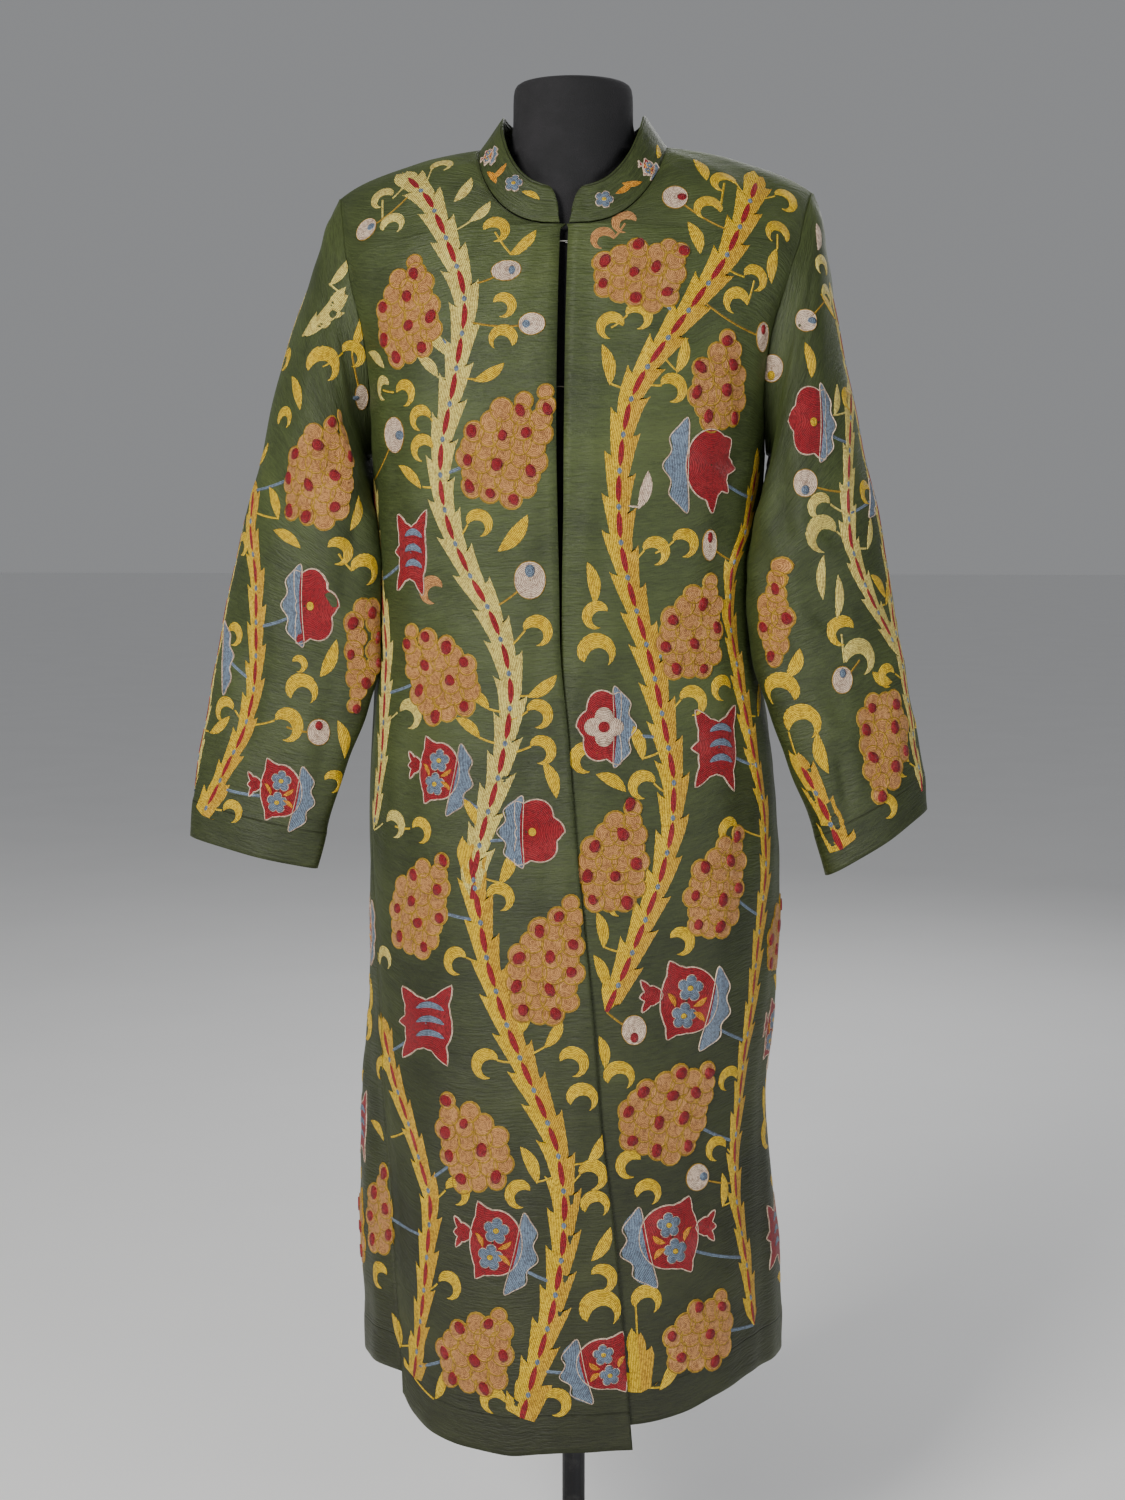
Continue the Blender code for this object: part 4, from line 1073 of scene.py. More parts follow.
@dataclass
class Sleeve(ClothPiece):
    """A set-in sleeve, from its armhole to its cuff."""
    side: int = 1
    table: tuple = LEFT_SLEEVE
    around: bool = True
    held: str = "hung"
    rests_on: tuple = ("left_front", "right_front")

    def turned_out(self) -> bool:
        """Rings run the other way round on the other side."""
        return self.side > 0

    def from_hem(self, up: Array) -> Array:
        """Metres from the cuff, the same all round a ring so that crinkles run round it."""
        level = up.mean(axis=1, keepdims=True)
        return level[-1] - level + 0.0 * up

    def armhole(self) -> Array:
        """Points around the armhole, from the shoulder down the front and back up."""
        front_rises = np.concatenate([[90.0], rise_steps(BODY.neck_rise(self.side, False))[-2::-1]])
        back_rises = np.concatenate([[0.0], rise_steps(BODY.neck_rise(self.side, True))[:-1]])
        return np.concatenate([
            BODY.yoke(BODY.armhole_angle(self.side, False, front_rises), front_rises),
            BODY.yoke(BODY.armhole_angle(self.side, True, back_rises), back_rises)])

    def turns(self, loop: Array) -> Array:
        """Turns at which the first oval is as high as the points of the armhole."""
        top, low = self.table[0].outer_z, self.table[0].inner_z
        turns = np.arccos(np.clip((loop[:, 2] - (top + low) / 2) / ((top - low) / 2), -1.0, 1.0))
        underarm = len(loop) // 2
        return np.where(np.arange(len(loop)) <= underarm, turns, math.tau - turns)

    def ovals(self, at: Array, turns: Array) -> Array:
        """Points of the sleeve's ovals.

        Args:
            at: Stations, one per ring.
            turns: Turns around each ring.

        Returns:
            Points, ring by ring.
        """
        ends = []
        for end in ("outer", "inner"):
            x, y, z = (read(self.table, f"{end}_{axis}", at) for axis in "xyz")
            ends.append(stack(self.side * x, y, z)[:, None, :])
        middle, major = (ends[0] + ends[1]) / 2, (ends[0] - ends[1]) / 2
        forward = np.array([0.0, -1.0, 0.0])
        lean = (major @ forward) / np.sum(major ** 2, axis=-1)
        minor = unit(forward - major * lean[..., None])
        minor = minor * read(self.table, "half_depth", at)[:, None, None]
        return middle + major * np.cos(turns)[..., None] + minor * np.sin(turns)[..., None]

    def clear_of_body(self, points: Array, gap: Array) -> Array:
        """Move points sideways until they are clear of the body they hang beside."""
        x, y, z = points[..., 0], points[..., 1], points[..., 2]
        back = y > 0
        share, rise, underarm_depth, inward = BODY.climb(x, z, back)
        low = z < UNDERARM_Z
        low_depth = np.where(back, read(SECTIONS, "back", z), read(SECTIONS, "front", z))
        depth = np.where(low, low_depth, underarm_depth * inward)
        panel = np.where(back, read(RISES, "back_armhole", rise), read(RISES, "front_armhole", rise))
        panel = np.where(low, 1.0, panel)
        squareness, half_width, shift = (
            np.where(low, read(SECTIONS, column, z), read(RISES, column, rise))
            for column in ("squareness", "half_width", "shift"))
        along = np.clip(np.abs(y) / (depth + gap), 0.0, 1.0)
        across = (half_width + gap) * (1.0 - along ** squareness) ** (1.0 / squareness)
        limit = self.side * shift + np.minimum(across, half_width * panel + gap)
        kept = (along >= 1.0) | (~low & (share >= 1.0))
        moved = self.side * np.maximum(self.side * x, limit)
        return stack(np.where(kept, x, moved), y, z)

    def rows(self) -> list:
        """Rings from the armhole to the cuff."""
        loop = self.armhole()
        at_armhole = self.turns(loop)
        first = self.ovals(np.zeros(1), at_armhole[None, :])[0]
        at = np.linspace(0.0, self.table[-1].station, SLEEVE_RINGS + 1)
        uneven = np.maximum(1.0 - at / TURN_REACH, 0.0)[:, None]
        even = math.tau * np.arange(len(loop)) / len(loop)
        turns = even[None, :] + (at_armhole - even)[None, :] * uneven
        points = self.ovals(at, turns)
        under = ((1.0 - np.cos(turns)) / 2) ** 3
        offset = stack(self.side * (SLEEVE_SEAM + UNDERARM_SEAM * under), 0.0 * under, 0.0 * under + SEAM)
        keep = (np.maximum(1.0 - at / ARMHOLE_REACH, 0.0) ** 2)[:, None, None]
        points = points + (loop + offset - first) * keep
        gap = (SLEEVE_CLEAR * np.minimum(at, 1.0))[:, None]
        points[1:] = self.clear_of_body(points[1:], gap[1:])
        return [points]

    def undulation(self, grid: Array) -> Array:
        """Soft waves round and along the sleeve."""
        rings, columns = grid.shape[:2]
        at = np.linspace(0.0, 1.0, rings)[:, None]
        turn = (math.tau * np.arange(columns) / columns)[None, :]
        grown = ease(at / 0.15)
        return grown * (0.0008 * np.sin(3.0 * turn + 9.0 * at)
                        + 0.0006 * np.sin(5.0 * turn - 22.0 * at + 1.7)
                        + 0.0004 * np.sin(60.0 * at + 3.0 * np.sin(2.0 * turn)))

    def edge_mask(self, grid: Array) -> Array:
        """0 at the armhole seam."""
        return ease(np.arange(len(grid)) / 9.0)[:, None] * np.ones((1, grid.shape[1]))


@dataclass
class Collar(ClothPiece):
    """The stand collar band round the neck seam."""
    held: str = "hung"
    rests_on: tuple = ("form_body",)
    hem_step: float = 0.0
    corner_steps: int = 14

    def half_feet(self, side: int) -> Array:
        """Feet of one half of the collar, from the front edge to the centre back."""
        front_at = BODY.neck_rise(side, False, on_collar=True)
        start = BODY.yoke(BODY.angle_at_x(CENTRE_X + side * COLLAR_HALF_GAP, front_at, RISES), front_at)
        share = 0.997 * np.linspace(0.0, 1.0, YOKE_ROWS_ABOVE_NECK + 1)[1:] ** 1.5
        front_rises = front_at + (90.0 - front_at) * share
        front = BODY.yoke(BODY.neck_angle(side, False, front_rises, 0.0), front_rises)
        front[-1, 1] = 0.0
        front = front[side * front[:, 0] > abs(start[0]) + 0.002]
        along = np.linspace(0.0, 1.0, self.corner_steps + 1)[:-1, None]
        corner = start + (front[0] - start) * along
        end_at = BODY.neck_rise(side, True, on_collar=True)
        back_rises = (end_at + (90.0 - end_at) * share)[:-1][::-1]
        back = BODY.yoke(BODY.neck_angle(side, True, back_rises, 0.0), back_rises)
        end = BODY.yoke(side * 180.0, end_at)
        return np.concatenate([corner, front, back, end[None, :]])

    def rows(self) -> list:
        """Rows from the neck seam up."""
        feet = np.concatenate([self.half_feet(1), self.half_feet(-1)[::-1][1:]])
        lengths = along_line(feet)
        from_end = np.minimum(lengths, lengths[-1] - lengths)
        x, y = feet[:, 0], feet[:, 1]
        side = np.minimum(np.abs(x) / NECK_HALF_WIDTH, 1.0) ** 2
        height = COLLAR_SIDE_HEIGHT * side
        height += np.where(y < 0, COLLAR_FRONT_HEIGHT, COLLAR_BACK_HEIGHT) * (1.0 - side)
        reach = np.clip(1.0 - from_end / COLLAR_CORNER, 0.0, 1.0)
        height -= (COLLAR_FRONT_HEIGHT - COLLAR_END_HEIGHT) * (1.0 - np.sqrt(1.0 - reach ** 2))
        lean = height / COLLAR_FRONT_HEIGHT
        ratio = np.where(y < 0, COLLAR_TOP_FRONT / NECK_FRONT, COLLAR_TOP_BACK / NECK_BACK)
        spread_out = COLLAR_TOP_SPREAD * np.maximum(1.0 - from_end / COLLAR_SPREAD_LENGTH, 0.0)
        wider = 1 + (COLLAR_TOP_HALF_WIDTH / NECK_HALF_WIDTH - 1) * lean
        top = stack(x * wider + np.sign(x) * spread_out, y * (1 + (ratio - 1) * lean), feet[:, 2] + height)
        share = np.linspace(0.0, 1.0, COLLAR_ROWS + 1)[:, None, None]
        return [feet + (top - feet) * share]

    def undulation(self, grid: Array) -> Array:
        """The band is firm, so it waves little."""
        return 0.35 * super().undulation(grid)

    def edge_mask(self, grid: Array) -> Array:
        """0 at the neck seam."""
        return ease(np.arange(len(grid)) / 3.0)[:, None] * np.ones((1, grid.shape[1]))


# Embroidery

MM = 0.001
PIXEL = 0.90
UNDER = -0.30
NEAR_CLOTH = 0.028
PAST_BORDER = 0.0015


class Thread(Enum):
    """Silk embroidery threads, by their linear colour."""
    STRAW = (0.800, 0.660, 0.150)
    GOLD = (0.820, 0.530, 0.003)
    AMBER = (0.700, 0.400, 0.012)
    PEACH = (0.600, 0.280, 0.085)
    CRIMSON = (0.330, 0.002, 0.010)
    CREAM = (0.780, 0.600, 0.440)
    BLUE = (0.170, 0.240, 0.330)
    ORANGE = (0.720, 0.290, 0.004)
    OCHRE = (0.460, 0.260, 0.003)


@dataclass(frozen=True)
class ChainStitch:
    """Rows of chain stitch in one thread, with painted shade in the grooves between rows and loops; the map
    holds metres along and across the rows.
    """
    thread: Thread
    row: float = 0.0015
    loop: float = 0.0026
    roughness: float = 0.50

    def material(self) -> bpy.types.Material:
        """Make the material."""
        shader = Shader(f"thread_{self.thread.name.lower()}")
        stitch = shader.uv("stitch")
        along, across, _ = shader.parts(stitch)
        place = shader.place()
        wander = shader.noise(place, 260.0, 2.0) * 0.5
        rows = across / self.row + wander
        in_row = (rows * math.pi).sine().size()
        shift = rows.floor() * 0.37
        loops = ((along / self.loop + shift) * math.pi).sine().size()
        relief = in_row ** 0.6 * 0.7 + in_row * loops * 0.3
        fade = shader.noise(place, 38.0, 4.0, 0.65)
        speck = shader.noise(place, 380.0, 3.0, 0.75)
        fuzz = shader.noise(place, 1400.0, 2.0)
        red, green, blue = self.thread.value
        # Darker tone of the thread: painted shade in the stitch grooves, and also the dark specks and worn
        # spots.
        shade_speck_and_wear = (red * 0.42, green * 0.34, blue * 0.34)
        pale = (min(red * 1.12 + 0.02, 1.0), min(green * 1.14 + 0.02, 1.0), min(blue * 1.20 + 0.015, 1.0))
        # Grooves between rows and loops are darker by their relief: painted shade.
        colour = shader.mix(relief.between(0.05, 0.75), shade_speck_and_wear, self.thread.value)
        colour = shader.mix(fade.between(0.46, 0.72) * 0.65, colour, pale)
        colour = shader.mix((1.0 - speck.between(0.40, 0.54)) * 0.72, colour, shade_speck_and_wear)
        worn = (fade + fuzz * 0.3).between(0.36, 0.55)
        colour = shader.mix((1.0 - worn) * 0.30, colour, shade_speck_and_wear)
        return shader.finish(Base_Color=colour, Roughness=fuzz * 0.2 + (self.roughness - 0.1),
                             Normal=shader.bump(relief + speck * 0.8 + fuzz * 0.25, 0.0012))


@dataclass
class Patch:
    """A small sheet of stitches on a motif's own plane, in millimetres."""
    thread: Thread
    x: Array
    y: Array
    height: Array
    along: Array
    across: Array

    def placed(self, turn: float = 0.0, x: float = 0.0, y: float = 0.0, flip: bool = False,
               lift: float = 0.0) -> "Patch":
        """The patch turned by degrees, then moved and lifted."""
        across = -self.x if flip else self.x
        cosine, sine = math.cos(math.radians(turn)), math.sin(math.radians(turn))
        height = np.where(self.height > UNDER, self.height + lift, self.height)
        return Patch(self.thread, across * cosine - self.y * sine + x, across * sine + self.y * cosine + y,
                     height, self.along, self.across)


def blob(thread: Thread, radius: Array, height: float, dome: float = 0.0, rings: int = 2,
         closed: bool = True) -> Patch:
    """Fill a shape given by its radius all round.

    Args:
        thread: Thread of the fill.
        radius: Radii at evenly spaced turns, in millimetres.
        height: Height over the cloth.
        dome: Extra height in the middle.
        rings: Rings of faces.
        closed: Whether its border goes down to just under the cloth.

    Returns:
        The patch.
    """
    radius = np.append(radius, radius[0])
    turns = np.linspace(0.0, math.tau, len(radius))
    share = np.linspace(0.03, 1.0, rings + 1)
    share = (np.append(share, 1.012) if closed else share)[:, None]
    reach = share * radius[None, :]
    level = height + dome * (1.0 - share ** 2) + 0.0 * reach
    if closed:
        level[-1] = UNDER
    return Patch(thread, reach * np.cos(turns), reach * np.sin(turns), level,
                 turns[None, :] * radius.mean() + 0.0 * reach, reach)


def shares(columns: int, shoulder: float) -> Array:
    """Places across a band from -1 to 1; past its shoulders it falls to the cloth."""
    return np.concatenate([[-1.0], np.linspace(-shoulder, shoulder, columns - 2), [1.0]])[None, :]


def ribbon(thread: Thread, x: Array, y: Array, left: Array, right: Array, height: float,
           columns: int = 5, closed: bool = False) -> Patch:
    """Stitch a band along a line.

    Args:
        thread: Thread of the band.
        x: Places along the line, in millimetres.
        y: Places along the line, in millimetres.
        left: Half widths to the left of the line.
        right: Half widths to its right.
        height: Height over the cloth.
        columns: Points across.
        closed: Whether the line ends where it starts.

    Returns:
        The patch.
    """
    dx, dy = np.gradient(x), np.gradient(y)
    if closed:
        dx[[0, -1]], dy[[0, -1]] = x[1] - x[-2], y[1] - y[-2]
    length = np.maximum(np.hypot(dx, dy), 1e-6)
    share = shares(columns, 0.667 if columns > 4 else 0.5)
    reach = np.where(share < 0, share * np.broadcast_to(right, x.shape)[:, None],
                     share * np.broadcast_to(left, x.shape)[:, None])
    level = height * (1.0 - 0.25 * share ** 2) + 0.0 * reach
    level[:, 0] = level[:, -1] = UNDER
    along = along_line(stack(x, y))[:, None] + 0.0 * reach
    return Patch(thread, x[:, None] - (dy / length)[:, None] * reach,
                 y[:, None] + (dx / length)[:, None] * reach, level, along, reach)


def edged(patch_radius: Array, fill: Thread, rim: Thread, height: float, rim_half: float = 0.75,
          dome: float = 0.0, rings: int = 2) -> list:
    """A filled shape with a raised outline."""
    radius = np.append(patch_radius, patch_radius[0]) - rim_half
    turns = np.linspace(0.0, math.tau, len(radius))
    line = ribbon(rim, radius * np.cos(turns), radius * np.sin(turns), rim_half, rim_half,
                  height + 0.28, 4, True)
    return [blob(fill, patch_radius - 0.55 * rim_half, height, dome, rings, False), line]


def oval(width: float, height: float, count: int = 28) -> Array:
    """Radii of an oval."""
    turns = math.tau * np.arange(count) / count
    return 1.0 / np.sqrt((np.cos(turns) / (width / 2)) ** 2 + (np.sin(turns) / (height / 2)) ** 2)


def grapes(width: float, height: float, hook: float, seed: int) -> list:
    """A cluster of round grapes that overlap like scales, narrowing to a bent tip."""
    chance = np.random.default_rng(seed)
    radius = 10.8
    pitch = 15.6
    patches, dots = [], []
    count = max(int(height / (pitch * 0.84)), 2)
    order = 0
    for level in range(count + 1):
        up = -height / 2 + radius * 0.8 + (height - 1.5 * radius) * level / count
        share = (up + height / 2) / height
        reach = width / 2 * (math.sqrt(max(1.0 - ((share - 0.38) / 0.42) ** 2, 0.0)) if share < 0.38
                             else max(1.0 - ((share - 0.38) / 0.66) ** 1.7, 0.0))
        bend = hook * width * 0.42 * max(share - 0.42, 0.0) ** 1.6 * 2.2
        room = max(reach - radius * 0.75, 0.0)
        across = max(int(round(2 * room / pitch)) + 1, 1)
        offset = pitch / 4 * (1 if level % 2 else -1) if across > 1 else 0.0
        size = radius * (1.0 if share < 0.72 else 1.0 - 1.15 * (share - 0.72))
        for place in range(across):
            x = (-room + 2 * room * place / (across - 1) if across > 1 else 0.0) + offset * 0.5 + bend
            x += chance.uniform(-1.2, 1.2)
            shape = oval(2 * size * chance.uniform(0.92, 1.10), 2 * size * chance.uniform(0.92, 1.08), 14)
            lift = 0.10 + 0.035 * order
            turn = chance.uniform(0, 360)
            for patch in edged(shape, Thread.PEACH, Thread.OCHRE, 0.30, 1.15, 0.22):
                patches.append(patch.placed(turn, x, up, lift=lift))
            middle = (x + chance.uniform(-3, 3), up + chance.uniform(-3, 4))
            if all(math.dist(middle, other) > 20.0 for other in dots):
                dots.append(middle)
                dot = squeezed(star(*((60 * corner + chance.uniform(-14, 14), chance.uniform(0.8, 1.2))
                                      for corner in range(6)), count=12),
                               chance.uniform(7.5, 10.0), chance.uniform(9.0, 13.5))
                patches.append(blob(Thread.CRIMSON, dot, 0.95, 0.1, 1).placed(
                    chance.uniform(-40, 40), *middle, lift=lift + 0.6))
            order += 1
    return patches


def fruit(width: float, height: float, dot_turn: float, dot: Thread) -> list:
    """A pale round fruit with a dot near its rim."""
    patches = edged(oval(width, height), Thread.CREAM, Thread.OCHRE, 0.40, 0.45, 0.15)
    spot = blob(dot, oval(width * 0.30, height * 0.34, 14), 0.85, 0.1, 1)
    reach = 0.24 * height
    patches.append(spot.placed(dot_turn, -reach * math.sin(math.radians(dot_turn)),
                               reach * math.cos(math.radians(dot_turn))))
    return patches


def leaf(length: float, width: float, thread: Thread) -> list:
    """A pointed leaf, tip up, a little bent."""
    share = np.linspace(0.0, 1.0, 12)
    half = width / 2 * np.sin(np.pi * share) ** 0.85 + 0.12
    bend = width * 0.22 * np.sin(np.pi * share)
    return [ribbon(thread, bend, length * (share - 0.5), half, half, 0.42)]


def curl(size: float, thread: Thread) -> list:
    """A fat comma with a hooked tip, its back up and its root at the lower left."""
    share = np.linspace(0.0, 1.0, 20)
    turn = np.radians(205.0 - 245.0 * share)
    radius = size * (0.40 - 0.04 * share)
    half = size * 0.35 * np.sin(np.pi * share ** 0.8) ** 0.9 * (1.0 - 0.35 * share) + 0.15
    return [ribbon(thread, radius * np.cos(turn), radius * np.sin(turn) - size * 0.06, half * 0.95,
                   half * 0.62, 0.48)]


def star(*points: tuple, count: int = 120) -> Array:
    """Radii of a shape whose outline runs through points, each a turn from the top and a radius."""
    turns = math.tau * np.arange(count) / count
    keys = [math.radians(90.0 + turn) % math.tau for turn, _ in points]
    return np.interp(turns, keys, [radius for _, radius in points], period=math.tau)


def squeezed(radius: Array, width: float, height: float) -> Array:
    """A round shape's radii, fitted to a width and a height."""
    turns = math.tau * np.arange(len(radius)) / len(radius)
    wide = np.ptp(radius * np.cos(turns))
    high = np.ptp(radius * np.sin(turns))
    x, y = radius * np.cos(turns) * width / wide, radius * np.sin(turns) * height / high
    angles = np.unwrap(np.arctan2(y, x))
    reach = np.hypot(x, y)
    return np.interp(turns, angles, reach, period=math.tau)


def blue_flower(size: float) -> list:
    """A small blue flower with a gold eye."""
    turns = math.tau * np.arange(50) / 50
    petals = size / 2 * (0.66 + 0.36 * np.abs(np.cos(2.5 * turns)) ** 0.7)
    return [blob(Thread.CREAM, petals + 0.7, 0.74, 0.0, 1), blob(Thread.BLUE, petals, 0.86, 0.1),
            blob(Thread.GOLD, oval(size * 0.26, size * 0.22, 12), 1.15, 0.0, 1)]


def wing(width: float, height: float) -> list:
    """A blue-grey pointed wing, scalloped on its right side, outlined."""
    share = np.linspace(-1.0, 1.0, 41)
    point = (1.0 - share ** 2) ** 0.6
    inner = width * 0.32 * point + 0.15
    outer = width * 0.62 * point * (0.80 + 0.22 * np.cos(3.2 * np.pi * share)) + 0.15
    bend = -width * 0.30 * share ** 2
    up = share * height / 2
    return [ribbon(Thread.BLUE, bend, up, inner, outer, 0.62),
            ribbon(Thread.CREAM, bend - inner, up, 0.55, 0.55, 0.86, 4),
            ribbon(Thread.CREAM, bend + outer, up, 0.55, 0.55, 0.86, 4)]


def red_shape(width: float, height: float, *points: tuple) -> list:
    """A crimson shape outlined in cream, from its outline's turns and radii."""
    return edged(squeezed(star(*points), width, height), Thread.CRIMSON, Thread.CREAM, 0.45, 0.75, 0.1, 3)


def rose(width: float, height: float) -> list:
    """A sideways red pomegranate flower: three-spiked crown on the left, blue wing on the right."""
    body = red_shape(width * 0.64, height * 0.86, (-15, 1.10), (0, 1.06), (12, 1.16), (24, 1.44), (39, 1.08),
                     (60, 0.98), (90, 0.94), (120, 1.0), (138, 1.10), (150, 1.42), (162, 1.14), (180, 1.06),
                     (210, 1.12), (240, 1.14), (270, 1.14), (300, 1.14), (330, 1.12))
    crown = red_shape(width * 0.26, height * 0.36, (-90, 0.95), (-30, 0.70), (18, 0.75), (42, 1.55), (66, 0.80),
                      (93, 1.15), (117, 0.80), (141, 1.50), (165, 0.75), (210, 0.70))
    patches = [patch.placed(0.0, -width * 0.37, height * 0.14, lift=-0.1) for patch in crown]
    patches += [patch.placed(0.0, -width * 0.01, height * 0.06) for patch in body]
    for x, y, size in ((0.03, 0.19, 0.27), (-0.04, -0.10, 0.27)):
        patches += [patch.placed(10.0, width * x, height * y) for patch in blue_flower(height * size)]
    for x, y, turn in ((-0.17, 0.08, 30.0), (0.13, 0.04, -60.0), (0.12, -0.12, 50.0)):
        patches.append(leaf(height * 0.17, width * 0.07, Thread.ORANGE)[0].placed(
            turn, width * x, height * y, lift=0.6))
    return patches + [patch.placed(-14.0, width * 0.33, -height * 0.07)
                      for patch in wing(width * 0.30, height * 0.92)]


def tulip(width: float, height: float) -> list:
    """A red flower with four horns and three curved blue bars."""
    patches = red_shape(width, height, (0, 0.80), (-18, 1.0), (-33, 1.62), (-48, 1.02), (-66, 0.88), (-90, 0.86),
                        (-117, 0.92), (-138, 1.0), (-153, 1.55), (-168, 0.95), (174, 0.86), (159, 1.0),
                        (144, 1.60), (129, 1.0), (105, 0.84), (93, 1.12), (78, 0.84), (57, 0.98), (39, 1.50),
                        (21, 0.95))
    share = np.linspace(-1.0, 1.0, 15)
    for bar in (-1, 0, 1):
        half = height * 0.050 * (1.0 - share ** 2) ** 0.6 + 0.12
        arch = height * (0.06 * (1.0 - share ** 2) + 0.17 * bar)
        patches.append(ribbon(Thread.BLUE, width * (0.06 + 0.24 * share), arch, half, half, 0.95, 5))
    return patches


def fan(width: float, height: float, heart: Thread) -> list:
    """A red half flower with scallops on the right, a heart and a blue wing on the left."""
    turns = math.tau * np.arange(120) / 120
    scallops = 0.84 + 0.18 * np.abs(np.cos(2.9 * turns))
    flat = np.where(np.cos(turns) < -0.05, 0.30 / np.maximum(-np.cos(turns), 0.30), 1.0)
    shape = squeezed(scallops * np.minimum(flat, 1.0), width * 0.78, height)
    patches = edged(shape, Thread.CRIMSON, Thread.CREAM, 0.42, 0.75, 0.1, 3)
    if heart is Thread.CREAM:
        patches = [patch.placed(0.0, -width * 0.12, 0.0) for patch in patches]
        turns = math.tau * np.arange(48) / 48
        lobes = height * (0.17 + 0.09 * np.abs(np.cos(2.0 * turns)))
        patches += [blob(Thread.CREAM, lobes, 0.84, 0.1),
                    blob(Thread.CRIMSON, oval(height * 0.15, height * 0.15, 14), 1.1)]
        patches = [patch.placed(0.0, width * 0.12, 0.0) for patch in patches]
    else:
        patches.append(blob(Thread.GOLD, oval(width * 0.11, height * 0.12, 14), 0.95).placed(
            0.0, width * 0.10, 0.0))
    patches = [patch.placed(0.0, -width * 0.12, 0.0) for patch in patches]
    return patches + [patch.placed(0.0, -width * 0.30, 0.0, True) for patch in wing(width * 0.40, height * 1.08)]


def pomegranate(width: float, height: float) -> list:
    """A round red fruit with a spiked crown at its lower right and a blue wing on its left."""
    patches = red_shape(width * 0.74, height * 0.92, (0, 1.0), (30, 1.0), (60, 1.02), (120, 1.0), (150, 1.0),
                        (171, 1.0), (186, 1.42), (201, 0.96), (216, 0.94), (228, 1.26), (240, 0.94), (252, 0.94),
                        (264, 1.30), (279, 0.94), (291, 0.96), (306, 1.20), (324, 0.98))
    patches = [patch.placed(0.0, width * 0.10, 0.0) for patch in patches]
    return patches + [patch.placed(0.0, -width * 0.29, 0.0, True) for patch in wing(width * 0.32, height)]


class Kind(Enum):
    """Motifs of the embroidery."""
    GRAPES = "grapes"
    FRUIT = "fruit"
    CURL = "curl"
    LEAF = "leaf"
    ROSE = "rose"
    TULIP = "tulip"
    FAN = "fan"
    POMEGRANATE = "pomegranate"
    BAND = "band"
    BLUE_FLOWER = "blue flower"


class Spot(NamedTuple):
    """A motif at a pixel of the photograph; its size in pixels; its tip turned from the top."""
    kind: Kind
    x: float
    y: float
    width: float
    height: float
    turn: Optional[float] = None
    thread: Thread = Thread.GOLD
    flip: bool = False
    stem: bool = True

    def patches(self) -> list:
        """The motif's patches, in millimetres, tip up."""
        width, height = self.width * PIXEL, self.height * PIXEL
        makers = {
            Kind.GRAPES: lambda: grapes(width, height, -1.0 if self.flip else 1.0, int(self.x * 7 + self.y)),
            Kind.FRUIT: lambda: fruit(width, height, self.turn or 0.0, self.thread),
            Kind.LEAF: lambda: leaf(height, width, self.thread),
            Kind.CURL: lambda: curl(max(width, height), self.thread),
            Kind.BAND: lambda: wing(width, height), Kind.BLUE_FLOWER: lambda: blue_flower(width),
            Kind.FAN: lambda: fan(width, height, self.thread), Kind.ROSE: lambda: rose(width, height),
            Kind.TULIP: lambda: tulip(width, height), Kind.POMEGRANATE: lambda: pomegranate(width, height)}
        return makers[self.kind]()


class Vine(NamedTuple):
    """A serrated vine along pixels of the photograph, from its top to its foot."""
    path: tuple
    width: float = 36.0
    thread: Thread = Thread.GOLD
    foot: bool = False
    core: bool = True


class Garden(NamedTuple):
    """The vines and motifs on some cloth pieces as seen from one side."""
    azimuth: float
    cloths: tuple
    vines: tuple
    spots: tuple


@dataclass
class Trail:
    """A line that lies on the cloth, with its normals, by length in metres."""
    points: Array
    normals: Array
    pixels: Array

    def __post_init__(self) -> None:
        """Measure the line."""
        self.lengths = along_line(self.points)

    @property
    def length(self) -> float:
        """Whole length."""
        return float(self.lengths[-1])

    def at(self, places: Array) -> tuple[Array, Array, Array]:
        """Points, normals and directions at lengths along the line."""
        points = stack(*(np.interp(places, self.lengths, self.points[:, i]) for i in range(3)))
        normals = unit(stack(*(np.interp(places, self.lengths, self.normals[:, i]) for i in range(3))))
        return points, normals, unit(np.gradient(points, axis=0))


